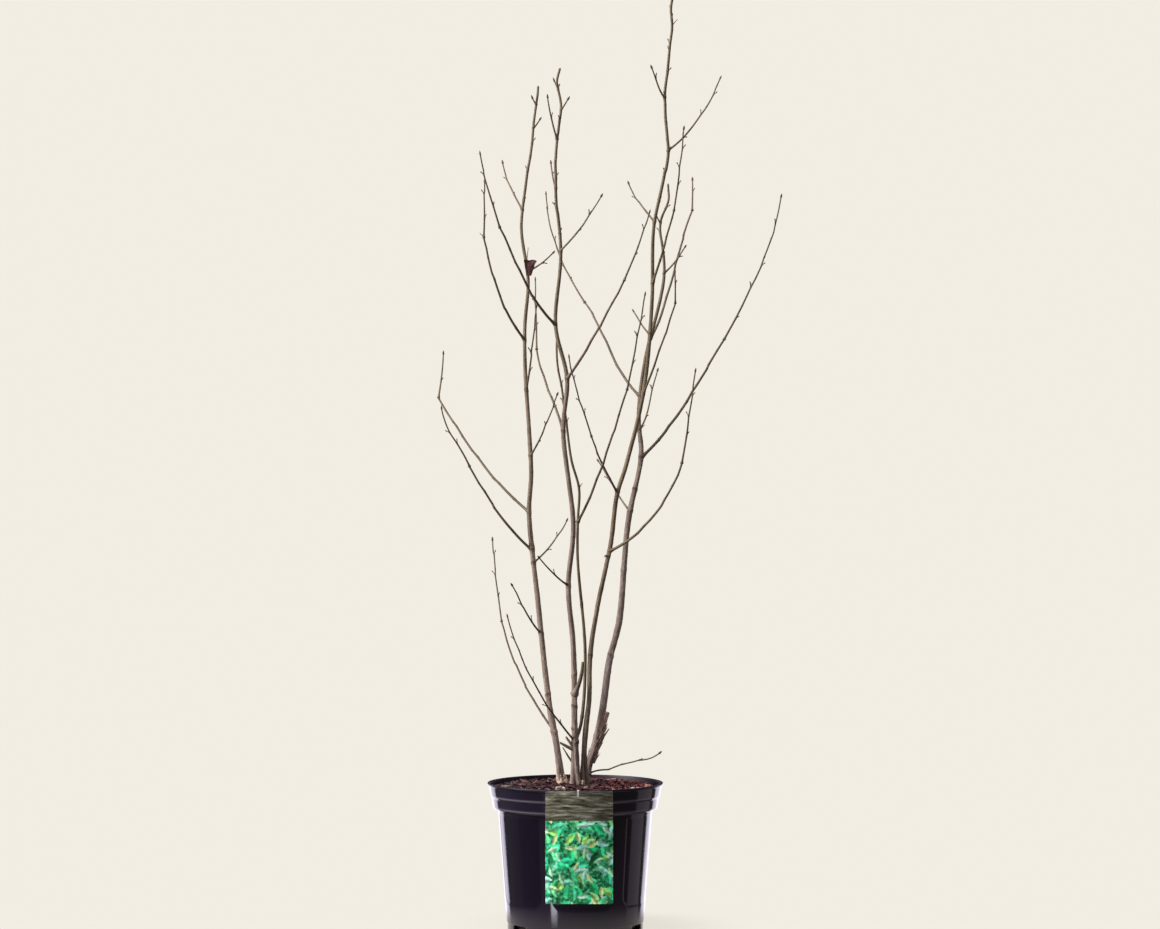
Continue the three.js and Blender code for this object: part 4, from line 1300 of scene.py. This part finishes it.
def budScales():
    # two waxy scales that meet along the bud, purplish brown and a little paler towards the tip
    material, add, shader, place = newMaterial("waxy purple-brown bud scales")
    along = add("Attribute", {}, attribute_name="along").outputs["Fac"]
    bloom = add("TexNoise", {"Vector": place, "Scale": 1 / 0.0012, "Detail": 4})
    colour = add("ValToRGB", {"Fac": along}, [
        (0, "#2a1d19"), (0.16, "#5a463b"), (0.55, "#57443c"), (1, "#7a6455"),
    ])
    shade = add("MapRange", {"Value": bloom, "To Min": 0.6, "To Max": 1.4})
    shaded = add("VectorMath", {0: colour, "Scale": shade}, operation="SCALE")
    bump = add("Bump", {"Strength": 0.4, "Distance": 0.2 * mm, "Height": bloom})
    setInputs(shader, {"Base Color": shaded, "Roughness": 0.5, "Normal": bump})
    return material


def budShape():
    # an egg that is drawn to a point, one unit each way
    bm = bmesh.new()
    bmesh.ops.create_uvsphere(bm, u_segments=8, v_segments=6, radius=0.5)
    along = bm.verts.layers.float.new("along")
    foot, drawn = budSize["taper"]
    for vert in bm.verts:
        height = vert.co.z + 0.5
        width = foot - drawn * height
        vert[along] = height
        vert.co = (vert.co.x * width, vert.co.y * width, height)
    return finishMesh(bm, "bud")


budMesh = budShape()


def placeBud(bm, foot, heading, size, spin):
    length, width, thick = budSize[size]
    turn = heading.to_track_quat("Z", "X") @ Quaternion(up, spin)
    for vert in pasteMesh(bm, budMesh):
        vert.co = (foot + turn @ Vector((vert.co.x * width, vert.co.y * thick, vert.co.z * length))) * mm


limbPoints = []
for limb in limbs:
    probes = math.ceil(limb.length / growth["probe"])
    for probe in range(probes + 1):
        share = limb.start + (limb.end - limb.start) * probe / probes
        limbPoints.append((limb, limb.curve.at(share), limb.radiusAt(share)))


def isClear(point, owners):
    return all(
        (other - point).length > radius + growth["clear"]
        for limb, other, radius in limbPoints if limb.name not in owners
    )


def layShoot(bm, buds, parent, start, heading, reach, thick, bud, size):
    # one short shoot, bowed a little towards the light, with a bud at its end
    end = start + heading * reach
    curve = Curve(lambda t: start.lerp(end, t) + up * fineShoot["bow"] * (math.sin(math.pi * t)))
    shoot = newLimb("spur", "spur", parent.stem, curve, tapered(thick, growth["spurTip"]), parent=parent)
    shoot.index = parent.index + bud
    layLimb(bm, shoot)
    placeBud(buds, end - heading * budSize["sunk"] * budSize[size][0], heading, size, bud)


def layBuds(bm, buds, limb, owners):
    # whole buds stand on a spur of their own, and those halfway between lie against the limb
    curve = limb.curve
    for node in limb.nodes:
        bud = node["bud"]
        share = budShare(limb, bud)
        heading = curve.heading(share)
        side = budSide(limb, bud, heading)
        thick = 2 * limb.radiusAt(share)
        middle = curve.at(share) + node["kink"]
        if bud % 1:
            foot = middle + side * thick * budSize["aside"]
            kind = "side" if thick > budSize["smallTo"] else "small"
            placeBud(buds, foot, leaned(heading, side, budSize["lean"]), kind, bud)
            continue
        outward = leaned(heading, side, growth["lean"])
        reach = growth["shortest"] + (growth["longest"] - growth["shortest"]) * chance(limb, bud + 0.5)
        if not isClear(curve.at(share) + outward * reach, owners):
            continue
        layShoot(bm, buds, limb, middle, outward, reach, thick / 2 * growth["spurFoot"], bud, "spur")
        if reach > fineShoot["least"]:
            away = Quaternion(outward, math.radians(growth["goldenAngle"])) @ side
            fine = (outward + away * math.tan(math.radians(fineShoot["lean"]))).normalized()
            foot = middle + outward * reach * fineShoot["share"]
            layShoot(bm, buds, limb, foot, fine, reach * fineShoot["reach"], fineShoot["foot"], bud, "small")
    if limb.end == 1 and limb.name not in blunt:
        neck = pointOn(limb, limb.length - budSize["neck"])
        placeBud(buds, neck, (curve.at(1) - neck).normalized(), "end", limb.index)


def layStrays(bm, buds, name):
    for parent, height, tip in strays:
        limb = limbNamed[parent]
        if limb.stem == name:
            start = pointAtHeight(limb.curve, height)
            run = Vector(tip) - start
            layShoot(bm, buds, limb, start, run.normalized(), run.length, fineShoot["stray"], 1, "small")


def makeShoots(name):
    bm, buds = newBark(), bmesh.new()
    buds.verts.layers.float.new("along")
    shoots = [limb for limb in limbs if limb.kind == "twig" and limb.stem == name]
    whole = []
    for limb in shoots:
        parent = limb.parent
        owners = {limb.name, parent.name if parent else ""}
        owners |= {twig.name for twig in shoots if twig.parent is limb}
        layLimb(bm, limb)
        layBuds(bm, buds, limb, owners)
        if not parent or parent.kind != "twig":
            whole.append(limb.name)
    layStrays(bm, buds, name)
    wood = addPiece("shoots_" + name, bm, twigBark, whole)
    scales = addPiece("buds_" + name, buds, budMaterial)
    print("shoots", name, len(wood.data.polygons), "faces, buds", len(scales.data.polygons))


budMaterial = budScales()
for stemName in stems:
    makeShoots(stemName)


# The one dead leaf, cupped and rolled, caught at the foot of a twig

dryLeaf = {
    # half the blade's width and how far it is rolled round, at its foot and at its top
    "half": (8.5, 17), "roll": (140, 100), "place": (-75.5, 50.4, 1044), "length": 26.5, "thick": 0.5,
    "columns": 22, "rows": 20, "lean": (1.5, 1.6), "turn": 10, "crumple": 2,
    # the notch in its top, how far its shoulders drop, and where the dark rim starts
    "notch": (1.6, 0.2), "shoulder": 0.12, "rimFrom": 0.82,
}


def dryLeafSkin():
    # a leaf that has dried on the twig: dark rolled edges, paler and pinkish in the cup
    material, add, shader, place = newMaterial("dried dark leaf")
    edge = add("Attribute", {}, attribute_name="edge").outputs["Fac"]
    spots = add("TexNoise", {"Vector": place, "Scale": 1 / 0.003, "Detail": 6, "Roughness": 0.7})
    worn = add("Math", {0: spots, 1: 0.5, 2: edge}, operation="MULTIPLY_ADD")
    colour = add("ValToRGB", {"Fac": worn}, [
        (0.16, "#a98384"), (0.3, "#764848"), (0.5, "#4c2526"), (1, "#2c1416"),
    ])
    bump = add("Bump", {"Strength": 0.8, "Distance": 0.5 * mm, "Height": spots})
    setInputs(shader, {"Base Color": colour, "Roughness": 0.7, "Normal": bump})
    return material


def makeDryLeaf():
    size = dryLeaf
    notchDepth, notchWidth = size["notch"]
    leanX, leanY = size["lean"]
    bm = bmesh.new()
    edge = bm.verts.layers.float.new("edge")
    blade = bmesh.ops.create_grid(bm, x_segments=size["columns"], y_segments=size["rows"], size=0.5)["verts"]
    spin = Quaternion(up, math.radians(size["turn"]))
    for vert in blade:
        across, rise = 2 * vert.co.x, vert.co.y + 0.5
        half, roll = [low + (high - low) * rise ** 0.8 for low, high in (size["half"], size["roll"])]
        roll = math.radians(roll)
        crumple = size["crumple"] * noise.noise(Vector((across * 2.4, rise * 3, 4))) * rise
        radius = half / roll + crumple
        turn = across * roll
        notch = notchDepth * math.exp(-(across / notchWidth) ** 2) * rise ** 6
        spot = Vector((
            radius * math.sin(turn) + leanX * rise,
            -radius * (1 - math.cos(turn)) + leanY * rise,
            size["length"] * rise * (1 - size["shoulder"] * across ** 2) - notch,
        ))
        vert[edge] = max(across ** 2, 0.7 * smooth(size["rimFrom"], 1, rise))
        vert.co = (Vector(size["place"]) + spin @ spot) * mm
    thicken(bm, size["thick"])
    addPiece("dry_leaf", bm, dryLeafSkin(), sharpFrom=60)


makeDryLeaf()
